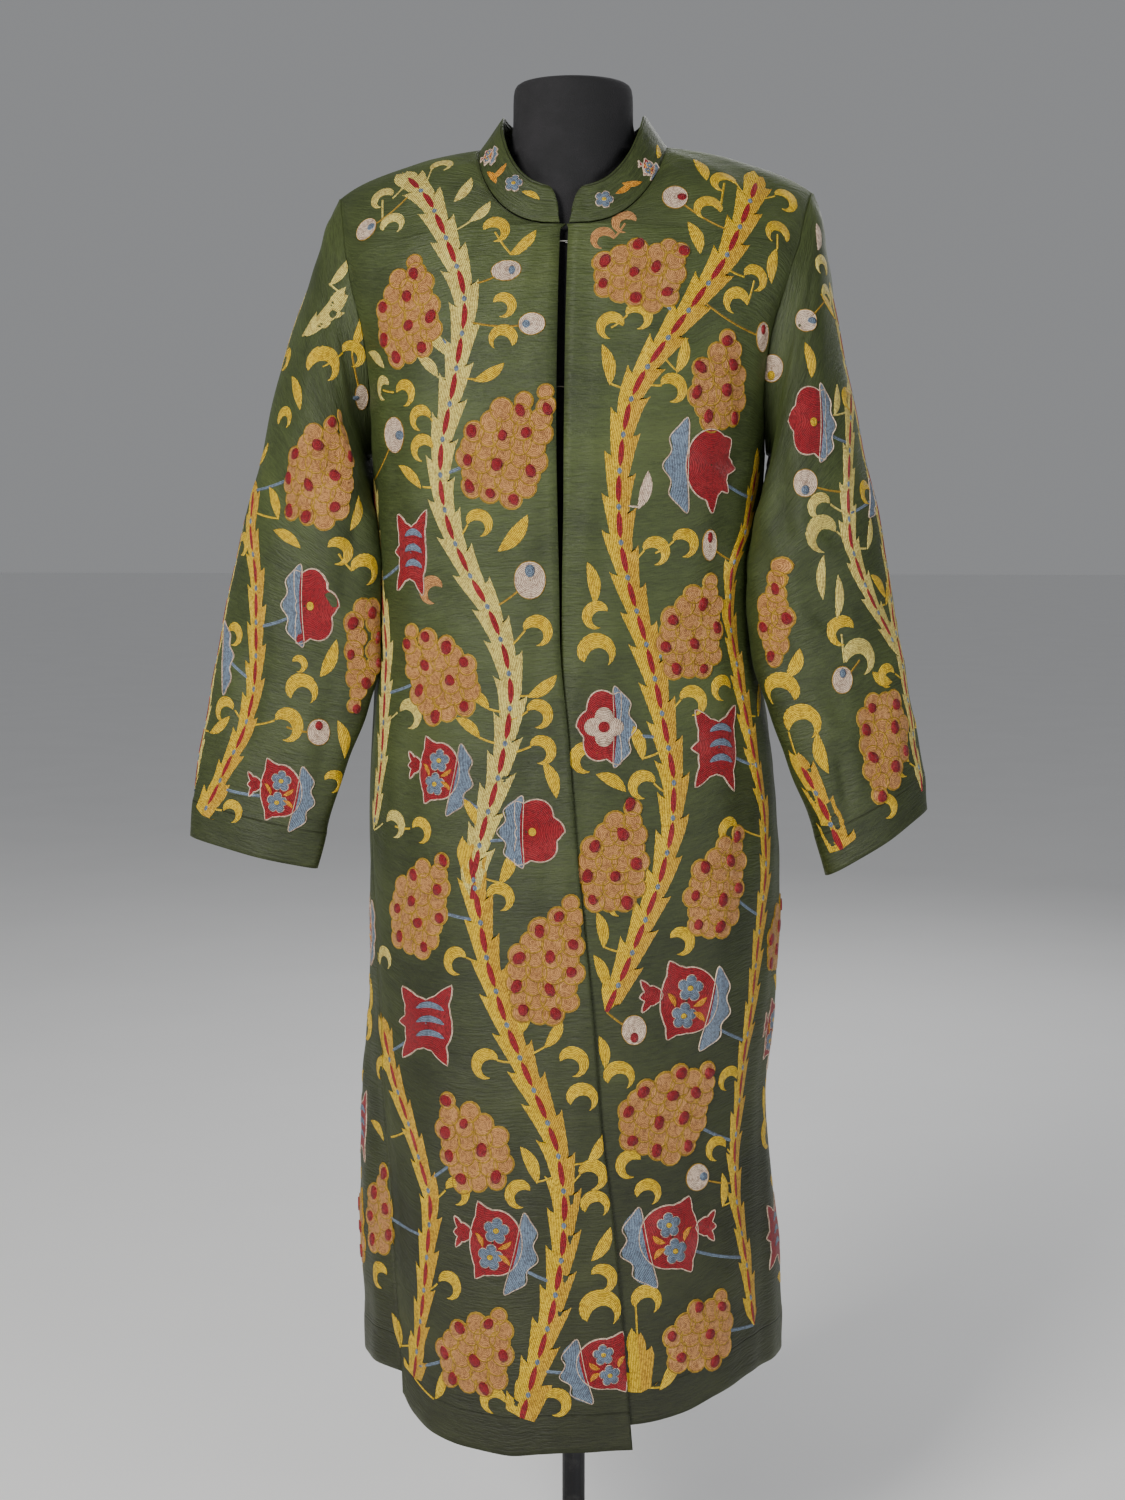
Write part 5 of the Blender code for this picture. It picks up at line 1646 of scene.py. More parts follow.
@dataclass
class Needlework:
    """The stitches on one cloth piece."""
    cloth: ClothPiece
    hidden: Optional[Callable[[Array], Array]] = None
    vertices: list = field(default_factory=list)
    faces: list = field(default_factory=list)
    maps: list = field(default_factory=list)
    threads: list = field(default_factory=list)

    def sew(self, patch: Patch, points: Array) -> None:
        """Lay a patch's points on the cloth, and drop what lies past its borders."""
        rows, columns = points.shape[:2]
        flat = points.reshape(-1, 3)
        heights = patch.height.reshape(-1)
        laid = np.empty_like(flat)
        outward = np.zeros(3)
        off = np.zeros(len(flat), bool)
        for number, point in enumerate(flat):
            place, normal, _, gap = self.cloth.tree.find_nearest(point)
            away = Vector(point) - place
            off[number] = gap > NEAR_CLOTH or away.cross(normal).length > PAST_BORDER
            laid[number] = place + normal * (HALF_WALL + float(heights[number]) * MM)
            outward += normal
        if self.hidden is not None:
            off |= self.hidden(laid)
        if off.all():
            return
        grid = laid.reshape(rows, columns, 3)
        off = off.reshape(rows, columns)
        middle = grid[rows // 2 - 1:rows // 2 + 1, columns // 2 - 1:columns // 2 + 1]
        facing = np.cross(middle[0, 1] - middle[0, 0], middle[1, 0] - middle[0, 0]) @ outward
        offset = len(self.vertices)
        self.vertices.extend(map(tuple, laid))
        index = list(Thread).index(patch.thread)
        maps = stack(patch.along, patch.across) * MM
        for corners in cells(rows, columns, facing < 0):
            if not all(off[corner] for corner in corners):
                self.faces.append([offset + row * columns + column for row, column in corners])
                self.threads.append(index)
                self.maps.extend(maps[corner] for corner in corners)

    def build(self, materials: Sequence[bpy.types.Material]) -> bpy.types.Object:
        """Make the mesh of all the stitches."""
        name = f"{self.cloth.name}_embroidery"
        mesh = bpy.data.meshes.new(name)
        mesh.from_pydata(self.vertices, [], self.faces)
        mesh.uv_layers.new(name="stitch").data.foreach_set("uv", np.array(self.maps, np.float32).ravel())
        for material in materials:
            mesh.materials.append(material)
        mesh.polygons.foreach_set("material_index", np.array(self.threads, np.int32))
        mesh.shade_smooth()
        piece = shown(name, mesh)
        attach(piece, "root")
        LOG.info("%s: %d faces", name, len(self.faces))
        return piece


class Embroidery:
    """All the needlework of the robe."""

    TOOTH = 0.034
    LINK = 0.031
    STATION = 0.0029

    def __init__(self, cloths: Sequence[ClothPiece]) -> None:
        """Take the cloth pieces that are embroidered."""
        self.works = {cloth.name: Needlework(cloth) for cloth in cloths}
        self.works["left_front"].hidden = self.under_lap

    @staticmethod
    def under_lap(points: Array) -> Array:
        """Which points of the left front lie under the right one."""
        edge = read(EDGES, "right_front_x", points[:, 2])
        return (points[:, 2] < LAP_OPEN_Z) & (points[:, 0] < edge - 0.001)

    def look(self, view: View, x: float, y: float, names: Sequence[str]) -> Optional[tuple]:
        """Where a pixel's ray meets the nearest of some cloth pieces."""
        best = None
        origin, direction = Vector(view.origin), Vector(view.ray(x, y))
        for name in names:
            place, normal, _, gap = self.works[name].cloth.tree.ray_cast(origin, direction)
            if place is not None and (best is None or gap < best[2]):
                best = (np.array(place), np.array(normal), gap)
        return best

    def trail(self, view: View, path: Sequence[tuple], names: Sequence[str], soften: int = 9) -> Optional[Trail]:
        """Lay a line of pixels on the cloth."""
        path = np.array(path, float)
        lengths = along_line(path)
        places = np.arange(0.0, lengths[-1] + 1.0, 2.2)
        pixels = stack(*(np.interp(places, lengths, path[:, i]) for i in (0, 1)))
        if soften and len(pixels) > 2 * soften:
            padded = np.concatenate([2 * pixels[0] - pixels[soften:0:-1], pixels,
                                     2 * pixels[-1] - pixels[-2:-soften - 2:-1]])
            kernel = np.hanning(2 * soften + 3)[1:-1]
            kernel /= kernel.sum()
            pixels = stack(*(np.convolve(padded[:, i], kernel, "valid") for i in (0, 1)))
        found = [(self.look(view, *pixel, names), pixel) for pixel in pixels]
        found = [(hit, pixel) for hit, pixel in found if hit is not None]
        if len(found) < 4:
            return None
        return Trail(np.array([hit[0] for hit, _ in found]), np.array([hit[1] for hit, _ in found]),
                     np.array([pixel for _, pixel in found]))

    def band(self, trail: Trail, names: Sequence[str], start: float, end: float, left: Callable,
             right: Callable, height: float, thread: Thread, columns: int = 5,
             lift: Optional[Callable] = None, shoulder: float = 0.5) -> None:
        """Stitch a band along a stretch of a line on the cloth.

        Args:
            trail: The line.
            names: Cloth pieces that it may lie on.
            start: Length at which the band starts, in metres.
            end: Length at which it ends.
            left: Half width on the image's left by length, in metres.
            right: Half width on its right.
            height: Height over the cloth in millimetres.
            thread: Thread.
            columns: Points across.
            lift: How far the outer points are drawn back along the line, by length.
            shoulder: Share of the half width past which the band falls to the cloth.
        """
        start, end = max(start, 0.0), min(end, trail.length)
        if end - start < 0.002:
            return
        places = np.linspace(start, end, max(int((end - start) / self.STATION) + 1, 7))
        points, normals, along = trail.at(places)
        side = np.cross(normals, along)
        share = shares(columns, shoulder)
        reach = np.where(share < 0, share * left(places)[:, None], share * right(places)[:, None])
        grid = points[:, None, :] + side[:, None, :] * reach[..., None]
        if lift is not None:
            back = stack(lift(places, -1), lift(places, 1))
            drawn = np.where(share < 0, back[:, :1], back[:, 1:]) * np.abs(share) ** 2
            grid = grid - along[:, None, :] * drawn[..., None]
        level = height * (1.0 - 0.2 * share ** 2) + 0.0 * reach
        level[:, 0] = level[:, -1] = UNDER
        patch = Patch(thread, reach, reach, level, places[:, None] / MM + 0.0 * reach, reach / MM)
        for name in names:
            self.works[name].sew(patch, grid)

    def vine(self, view: View, vine: Vine, names: Sequence[str]) -> Optional[Trail]:
        """Stitch a serrated vine with its red spindles and blue knots."""
        trail = self.trail(view, vine.path, names)
        if trail is None:
            return None
        full = vine.width * PIXEL * MM / 2
        length = trail.length

        def tooth(places: Array, side: int) -> Array:
            """Saw teeth whose points look up and out, by turns on the two sides."""
            phase = 0.0 if side < 0 else 0.5
            return 1.0 - np.mod(places / self.TOOTH + phase, 1.0)

        def half(side: int) -> Callable:
            """Half width on a side."""
            def width(places: Array) -> Array:
                taper = ease((places + 0.008) / 0.02)
                if vine.foot:
                    taper = taper * (1.0 + 0.30 * ease((places - length + 0.034) / 0.008))
                else:
                    taper = taper * ease((length - places + 0.006) / 0.02)
                return full * (0.60 + 0.52 * tooth(places, side) ** 1.25) * taper
            return width

        def lift(places: Array, side: int) -> Array:
            """Points of the teeth are drawn up."""
            return full * 0.72 * tooth(places, side) ** 1.8

        def seam(places: Array) -> Array:
            """How far one side's stitches pass under the other's."""
            return np.full_like(places, 0.0003)

        shade = Thread.AMBER if vine.thread is Thread.GOLD else vine.thread
        self.band(trail, names, 0.0, length, half(-1), seam, 0.45, vine.thread, 5, lift, 0.75)
        self.band(trail, names, 0.0, length, seam, half(1), 0.42, shade, 5, lift, 0.75)
        if not vine.core:
            return trail
        place = 0.010
        while place < length - 0.012:
            span = self.LINK * 0.76

            def spindle(places: Array, start: float = place) -> Array:
                """Half width of a red spindle."""
                return full * 0.24 * np.sin(np.pi * np.clip((places - start) / span, 0.0, 1.0)) ** 0.5 + 0.00015

            self.band(trail, names, place, place + span, spindle, spindle, 0.85, Thread.CRIMSON, 5)
            knot = place + span + 0.0012

            def round_knot(places: Array, start: float = knot) -> Array:
                """Half width of a round blue knot."""
                return full * 0.20 * np.sin(np.pi * np.clip((places - start) / 0.0052, 0.02, 0.98)) ** 0.5

            self.band(trail, names, knot, knot + 0.0052, round_knot, round_knot, 0.90, Thread.BLUE, 5)
            place += self.LINK
        return trail

    def motif(self, view: View, spot: Spot, names: Sequence[str], trails: Sequence[Trail], rank: int,
              grown: Sequence[Spot]) -> None:
        """Stitch one motif, turned away from what it grows on, and its stem."""
        hit = self.look(view, spot.x, spot.y, names)
        if hit is None:
            return
        place, normal, _ = hit
        right, up, _ = view.axes
        across = unit(right - normal * (right @ normal))
        upward = np.cross(normal, across)
        turn, flip, root = spot.turn, spot.flip, None
        if trails:
            pixel = np.array([spot.x, spot.y])
            gaps = [np.linalg.norm(trail.pixels - pixel - [0, 0.28 * max(spot.height, 24)], axis=-1)
                    for trail in trails]
            nearest = min(range(len(trails)), key=lambda number: gaps[number].min())
            root = trails[nearest].pixels[gaps[nearest].argmin()]
            if spot.kind in (Kind.LEAF, Kind.CURL, Kind.FRUIT):
                for other in grown:
                    place_there = np.array([other.x, other.y])
                    if other.kind is Kind.CURL and np.linalg.norm(place_there - pixel) < min(
                            46.0, 0.9 * np.linalg.norm(root - pixel)):
                        root = place_there
            if turn is None and spot.kind in (Kind.LEAF, Kind.CURL):
                lean = math.degrees(math.atan2(root[0] - spot.x, abs(root[1] - spot.y) + 14.0))
                turn = float(np.clip(lean, -62.0, 62.0))
                flip = root[0] > spot.x if spot.kind is Kind.CURL else flip
        turn = 0.0 if turn is None or spot.kind is Kind.FRUIT else turn
        for patch in spot.patches():
            patch = patch.placed(turn, flip=flip and spot.kind is not Kind.GRAPES, lift=0.015 * (rank % 5))
            grid = (place + across * (patch.x * MM)[..., None] + upward * (patch.y * MM)[..., None])
            for name in names:
                self.works[name].sew(patch, grid)
        if root is not None and spot.stem:
            size = max(spot.width, spot.height)
            foot = {Kind.CURL: ((0.34 if flip else -0.34) * size, -0.22 * size),
                    Kind.LEAF: (0.0, -0.46 * size)}.get(spot.kind, (0.0, 0.0))
            cosine, sine = math.cos(math.radians(turn)), math.sin(math.radians(turn))
            start = np.array([spot.x + foot[0] * cosine - foot[1] * sine,
                              spot.y - foot[0] * sine - foot[1] * cosine])
            self.stem(view, spot, start, root, names)

    def stem(self, view: View, spot: Spot, start: Array, root: Array, names: Sequence[str]) -> None:
        """Stitch a thin bent stem from a motif to what it grows on."""
        span = np.linalg.norm(root - start)
        small = spot.kind in (Kind.LEAF, Kind.CURL)
        if span < 6.0 or span > (30.0 if small else 80.0):
            return
        share = np.linspace(0.0, 1.0, 12)[:, None]
        bend = start * 0.5 + root * 0.5 + np.array([0.0, 0.12 * span])
        path = start * (1 - share) ** 2 + bend * 2 * share * (1 - share) + root * share ** 2
        trail = self.trail(view, path, names, 0)
        if trail is not None:
            thin = small or spot.kind is Kind.FRUIT
            thread = spot.thread if small else Thread.OCHRE if thin else Thread.BLUE
            half = 0.0011 if thin else 0.0019
            self.band(trail, names, 0.0, trail.length, lambda places: np.full_like(places, half),
                      lambda places: np.full_like(places, half), 0.30, thread, 4)

    def grow(self, garden: Garden) -> None:
        """Stitch a garden."""
        view = View(garden.azimuth)
        trails = [trail for vine in garden.vines if (trail := self.vine(view, vine, garden.cloths))]
        for rank, spot in enumerate(garden.spots):
            self.motif(view, spot, garden.cloths, trails, rank, garden.spots[:rank])

    def build(self) -> dict:
        """Make the pieces.

        Returns:
            The embroidery by the name of the cloth it is on.
        """
        materials = [ChainStitch(thread).material() for thread in Thread]
        return {name: work.build(materials) for name, work in self.works.items() if work.faces}


G, F, C, L, R, T, H, P, B, N = Kind
STRAW, GOLD, _, PEACH, RED, CREAM, BLUE, ORANGE, _ = Thread


def spots(*rows: tuple) -> tuple:
    """Name the columns of rows that leave out what is usual.

    Args:
        *rows: Kind, x, y and width, then height and turn as numbers, the thread, and whether
            it is flipped.

    Returns:
        The motifs.
    """
    found = []
    for kind, x, y, width, *rest in rows:
        flip = True in [part is True for part in rest]
        thread = next((part for part in rest if isinstance(part, Thread)), GOLD)
        sizes = [part for part in rest if part is not True and not isinstance(part, Thread)]
        height, turn = (sizes + [width, None][len(sizes):])[:2]
        found.append(Spot(kind, x, y, width, height, turn, thread, flip))
    return tuple(found)


RIGHT_FRONT_GARDEN = Garden(CAMERA_AZIMUTH, ("right_front", "back"), (
    Vine(((405, 175), (430, 200), (447, 240), (462, 280), (466, 310), (455, 380), (441, 450), (441, 490),
          (450, 530), (470, 575), (490, 610), (505, 650), (512, 690), (508, 730), (498, 780), (483, 830),
          (474, 876), (473, 900)), 34, STRAW),
    Vine(((470, 846), (474, 880), (487, 960), (505, 1020), (525, 1070), (543, 1110), (558, 1150), (565, 1200),
          (563, 1250), (553, 1310), (535, 1370), (522, 1418)), 36, GOLD, True),
    Vine(((368, 400), (378, 520), (388, 650), (383, 760), (375, 830)), 24, STRAW),
    Vine(((383, 1020), (395, 1080), (412, 1130), (432, 1200), (425, 1290), (415, 1377)), 30, GOLD, True),
), spots(
    (G, 403, 310, 72, 104, 12), (G, 505, 440, 84, 124, -14), (G, 440, 668, 76, 104, 16, True),
    (G, 417, 900, 72, 110, -12), (G, 545, 958, 70, 128, -4), (G, 475, 1140, 74, 100, 10, True),
    (G, 379, 1207, 44, 92), (G, 473, 1347, 78, 92, -8), (T, 412, 552, 44, 88), (R, 438, 776, 76, 80),
    (H, 534, 832, 66), (T, 427, 1023, 76, 82), (R, 494, 1248, 88, 92), (R, 606, 1368, 90, 72, True),
    (F, 367, 230, 26, 26, -90, BLUE), (F, 507, 271, 32, 22, -90, BLUE), (F, 532, 324, 27, 23, 90, BLUE),
    (F, 395, 435, 30, 36, -90, BLUE), (F, 530, 580, 32, 38, BLUE), (C, 442, 168, 24, STRAW),
    (L, 463, 190, 13, 34, STRAW), (L, 480, 212, 12, 30, STRAW), (C, 383, 200, 25, STRAW),
    (C, 393, 226, 26, STRAW), (C, 495, 232, 28), (L, 523, 243, 14, 36), (C, 503, 307, 25), (C, 502, 340, 27),
    (L, 489, 372, 13, 34), (L, 435, 343, 13, 34, STRAW), (L, 428, 367, 12, 30, STRAW),
    (L, 377, 360, 12, 36, STRAW), (C, 384, 390, 24, STRAW), (C, 405, 395, 26), (C, 421, 420, 25),
    (C, 423, 450, 27), (L, 410, 477, 13, 36), (C, 479, 525, 27), (L, 513, 533, 17, 46, -40),
    (C, 433, 592, 28, PEACH), (C, 537, 633, 30), (L, 542, 686, 14, 36), (C, 538, 716, 28), (C, 541, 752, 28),
    (L, 550, 780, 14, 38, 20), (L, 478, 700, 12, 30), (L, 468, 728, 12, 32), (C, 410, 716, 30, STRAW),
    (L, 470, 812, 12, 30), (C, 395, 826, 28, STRAW), (C, 421, 832, 26), (L, 506, 866, 14, 38, -20),
    (C, 500, 899, 28), (C, 457, 963, 28), (L, 521, 1018, 14, 36, -10), (L, 553, 1033, 13, 34, -30),
    (C, 487, 1066, 30), (C, 573, 1064, 30), (C, 583, 1100, 30), (C, 457, 1193, 28), (C, 520, 1196, 28),
    (L, 529, 1165, 15, 40, 25), (C, 449, 1287, 28), (L, 596, 1148, 13, 34, -30), (C, 592, 1177, 30),
    (C, 596, 1206, 28), (L, 601, 1244, 14, 38, -30), (C, 602, 1280, 28), (C, 602, 1312, 40),
    (C, 494, 1402, 28), (C, 556, 1404, 28), (L, 440, 1384, 13, 34, -20), (C, 381, 1277, 28),
    (L, 397, 1330, 13, 36, 20), (C, 382, 1070, 24), (L, 379, 1130, 12, 32), (C, 385, 960, 26, STRAW),
))

LEFT_FRONT_GARDEN = Garden(CAMERA_AZIMUTH, ("left_front",), (
    Vine(((758, 178), (745, 215), (725, 260), (700, 295), (670, 335), (645, 370), (630, 400), (622, 440),
          (618, 490), (620, 540), (630, 590), (645, 640), (655, 680), (665, 730), (674, 780), (672, 830),
          (660, 880), (645, 920), (625, 970), (606, 1012)), 34, GOLD),
    Vine(((757, 457), (745, 530), (730, 570), (728, 620), (740, 690), (752, 750), (763, 810), (765, 870),
          (758, 930), (750, 1010), (742, 1060), (733, 1150), (735, 1200), (745, 1260), (753, 1325)), 26, GOLD),
    Vine(((637, 1335), (641, 1392)), 28, GOLD, True, False),
), spots(
    (G, 640, 268, 84, 78, -20), (G, 718, 380, 62, 92, 10), (G, 690, 625, 68, 102), (G, 765, 590, 44, 92),
    (G, 612, 855, 66, 108), (G, 718, 880, 64, 112, -8), (G, 668, 1105, 92, 108, -22),
    (G, 700, 1330, 76, 80, -6), (P, 703, 465, 84, 92), (H, 604, 727, 58, 74, CREAM, True),
    (T, 718, 747, 56, 88), (R, 687, 1006, 100, 94), (R, 671, 1242, 104, 90, True),
    (F, 675, 198, 26, 28, -90, RED), (F, 709, 545, 18, 32, RED), (F, 762, 337, 18, 30, RED),
    (F, 634, 1030, 26, 30, 180, RED), (F, 697, 1177, 28, 28, -90, BLUE), (L, 700, 170, 13, 34, 20),
    (C, 724, 184, 27), (C, 708, 210, 28), (L, 694, 238, 14, 36), (C, 784, 202, 27), (C, 777, 235, 27),
    (L, 774, 266, 13, 36, 170), (C, 754, 280, 26), (C, 736, 303, 27), (C, 625, 224, 25, PEACH),
    (C, 603, 240, 24, PEACH), (C, 611, 328, 27), (C, 638, 318, 27), (L, 606, 365, 14, 40, 10),
    (L, 681, 355, 13, 36, -15), (C, 672, 390, 28), (L, 643, 490, 13, 38, -15, CREAM), (C, 655, 553, 28),
    (C, 684, 545, 28), (L, 591, 583, 14, 42, 10), (C, 597, 617, 27), (C, 598, 654, 36),
    (L, 636, 742, 14, 38, 20), (C, 692, 703, 30), (C, 586, 760, 30), (L, 611, 783, 14, 34, 60),
    (C, 643, 787, 28), (L, 600, 930, 13, 36, 10), (C, 620, 905, 27), (L, 600, 972, 13, 36, 20),
    (L, 602, 1052, 12, 32, 10), (C, 680, 943, 28), (C, 620, 1078, 30), (C, 630, 1166, 28), (C, 648, 1194, 27),
    (C, 647, 1302, 30), (L, 668, 1372, 14, 38, -30), (L, 722, 1190, 12, 34, 0), (C, 716, 1150, 26),
    (C, 722, 690, 26), (L, 757, 700, 12, 36, -10), (C, 729, 832, 26), (C, 728, 1080, 26),
))

RIGHT_SLEEVE_GARDEN = Garden(CAMERA_AZIMUTH, ("right_sleeve",), (
    Vine(((345, 295), (325, 318), (303, 337)), 24, STRAW, False, False),
    Vine(((270, 400), (257, 470), (251, 530), (257, 575), (257, 620), (257, 660), (254, 698), (243, 737),
          (230, 760), (217, 790), (203, 815)), 27, GOLD, True),
), spots(
    (H, 322, 244, 34, 40, 60), (L, 340, 272, 12, 34, -40, STRAW), (C, 323, 367, 38), (L, 296, 393, 14, 42, 20),
    (C, 352, 356, 26), (L, 358, 331, 12, 34, -20), (F, 361, 397, 15, 27, 90, BLUE),
    (G, 317, 463, 84, 124, -12), (L, 274, 503, 13, 36, 20), (L, 287, 539, 13, 36, 60),
    (L, 355, 513, 13, 36, -20), (C, 338, 553, 28), (C, 365, 572, 26, 32), (G, 367, 657, 44, 116, 180),
    (H, 312, 606, 62, 78), (B, 227, 657, 18, 78), (L, 328, 659, 15, 46, -25), (C, 299, 665, 17),
    (C, 303, 692, 34), (C, 287, 727, 34), (F, 319, 732, 25, 28, RED), (L, 342, 740, 14, 42, 10),
    (C, 333, 783, 20, 24), (C, 225, 711, 24, 26), (R, 280, 795, 72, 76), (C, 232, 813, 24), (C, 285, 420, 24),
    (L, 262, 365, 12, 34, 20, STRAW), (C, 281, 318, 24, STRAW),
))

LEFT_SLEEVE_GARDEN = Garden(CAMERA_AZIMUTH, ("left_sleeve",), (
    Vine(((842, 343), (850, 393), (848, 460), (847, 500), (850, 545), (862, 580), (874, 607), (888, 632),
          (897, 655)), 24, STRAW),
    Vine(((797, 756), (807, 775), (817, 793), (829, 820), (842, 850)), 32, GOLD, True),
), spots(
    (L, 817, 237, 12, 30, 0, CREAM), (C, 822, 268, 24, STRAW), (C, 826, 298, 24, STRAW),
    (F, 806, 321, 22, 24, -90, BLUE), (L, 808, 360, 12, 36, 10), (H, 812, 422, 58, 72, True),
    (F, 805, 483, 26, 28, 180, BLUE), (C, 820, 508, 26, STRAW), (L, 835, 400, 11, 34, -10, STRAW),
    (C, 822, 537, 30, 38, STRAW), (L, 823, 577, 11, 44, 180, STRAW), (L, 837, 597, 11, 44, 0, STRAW),
    (B, 871, 500, 17, 44), (L, 868, 533, 11, 34, -10, STRAW), (G, 772, 612, 34, 108), (C, 841, 633, 26, 30),
    (C, 859, 660, 34, 38, STRAW), (L, 882, 677, 14, 28, -110), (F, 842, 680, 23, 28, BLUE),
    (L, 793, 663, 15, 32, -25), (C, 780, 693, 32, 38), (C, 803, 725, 38), (L, 823, 753, 15, 42, 195),
    (G, 889, 747, 64, 108, 190), (C, 886, 808, 25), (L, 886, 590, 11, 32, -10), (C, 868, 430, 22, STRAW),
))

COLLAR_GARDEN = Garden(CAMERA_AZIMUTH, ("collar",), (), spots(
    (R, 489, 158, 22, 26), (L, 499, 172, 7, 22, -50, ORANGE), (L, 492, 178, 7, 20, 30, ORANGE),
    (N, 514, 184, 17), (L, 531, 196, 7, 20, 60), (N, 604, 200, 17), (L, 624, 188, 7, 22, -50, ORANGE),
    (L, 632, 183, 7, 20, -80, ORANGE), (R, 648, 170, 22, 26), (L, 657, 152, 7, 20, 0),
))


def back_garden() -> Garden:
    """The back's own layout: three vines with clusters, flowers and curls between them."""
    vines = []
    for x, sway in ((462, 16), (574, -14), (686, 16)):
        low = 1375
        high = 235 if x == 574 else 250
        path = tuple((x + sway * math.sin((y - high) / 120.0), y) for y in range(high, low, 30))
        vines.append(Vine(path, 34, STRAW if x == 574 else GOLD, True))
    spots = []
    for column, x in enumerate((404, 518, 630, 744)):
        for row in range(9):
            y = 290 + 118 * row + (59 if column % 2 else 0)
            if y > 1330 or (column in (0, 3) and y < 330):
                continue
            choice = (row * 2 + column * 3) % 5
            side = 1 if column % 2 else -1
            if choice in (0, 2):
                spots.append(Spot(G, x, y, 66, 96, 10 * side, flip=side > 0))
            elif choice == 1:
                spots.append(Spot(R, x, y, 64, 74, 0))
            elif choice == 3:
                spots.append(Spot(T, x, y, 56, 74, 0))
            else:
                spots.append(Spot(H, x, y, 60, 66, 0, flip=side > 0))
            spots.append(Spot(C, x - 18, y + 64, 28, 28))
            spots.append(Spot(L, x + 20, y + 66, 13, 36, None, STRAW if row % 2 else GOLD))
            if (row + column) % 3 == 0:
                spots.append(Spot(F, x + 2, y + 84, 24, 27, 0, BLUE if row % 2 else RED, stem=False))
    return Garden(180.0, ("back",), tuple(vines), tuple(spots))


def side_garden(azimuth: float, cloths: tuple, centre: float, top: int) -> Garden:
    """A side's own layout below the sleeve."""
    vine = Vine(tuple((centre + 10 * math.sin(y / 100.0), y) for y in range(top, 1370, 30)), 30, GOLD, True)
    spots = []
    for row, y in enumerate(range(top + 50, 1330, 108)):
        for side in (-1, 1):
            x = centre + side * 56
            kind = (G, R, C, T)[(row + (side > 0)) % 4]
            if kind is C:
                spots += [Spot(C, x, y, 32, 32), Spot(L, x + 6 * side, y - 36, 14, 38)]
            else:
                spots.append(Spot(kind, x, y, 56, 76, 8 * side))
            spots.append(Spot(L, x - 14 * side, y + 58, 13, 34))
    return Garden(azimuth, cloths, (vine,), tuple(spots))


def sleeve_back_garden(cloth: str, top: tuple, foot: tuple) -> Garden:
    """The back of a sleeve: one vine down its middle and motifs beside it."""
    (x1, y1), (x2, y2) = top, foot
    middle = ((x1 + x2) / 2 + 8, (y1 + y2) / 2)
    spots = []
    for step in range(6):
        share = 0.07 + 0.165 * step
        x, y = x1 + (x2 - x1) * share, y1 + (y2 - y1) * share
        for side in (-1, 1):
            kind = (G, C, T, F, R, C)[(step + (side > 0) * 3) % 6]
            size = {G: (46, 82), T: (40, 58), R: (52, 58)}.get(kind, (26, 28))
            spots += [Spot(kind, x + side * 40, y + side * 14, *size, None if kind is C else 0),
                      Spot(L, x + side * 26, y + side * 14 + 48, 12, 32)]
    return Garden(180.0, (cloth,), (Vine((top, middle, foot), 26, GOLD, True),), tuple(spots))


def sleeve_edge_garden(azimuth: float, cloth: str, top: tuple, foot: tuple) -> Garden:
    """The outer side of a sleeve: a narrow vine with curls and leaves."""
    (x1, y1), (x2, y2) = top, foot
    spots = []
    for step in range(11):
        share = 0.04 + 0.09 * step
        side = 1 if step % 2 else -1
        spots.append(Spot(C if step % 3 else L, x1 + (x2 - x1) * share + 25 * side, y1 + (y2 - y1) * share,
                          24 if step % 3 else 12, 24 if step % 3 else 34))
    vine = Vine((top, ((x1 + x2) / 2, (y1 + y2) / 2), foot), 20, STRAW)
    return Garden(azimuth, (cloth,), (vine,), tuple(spots))


# Dress form and stand

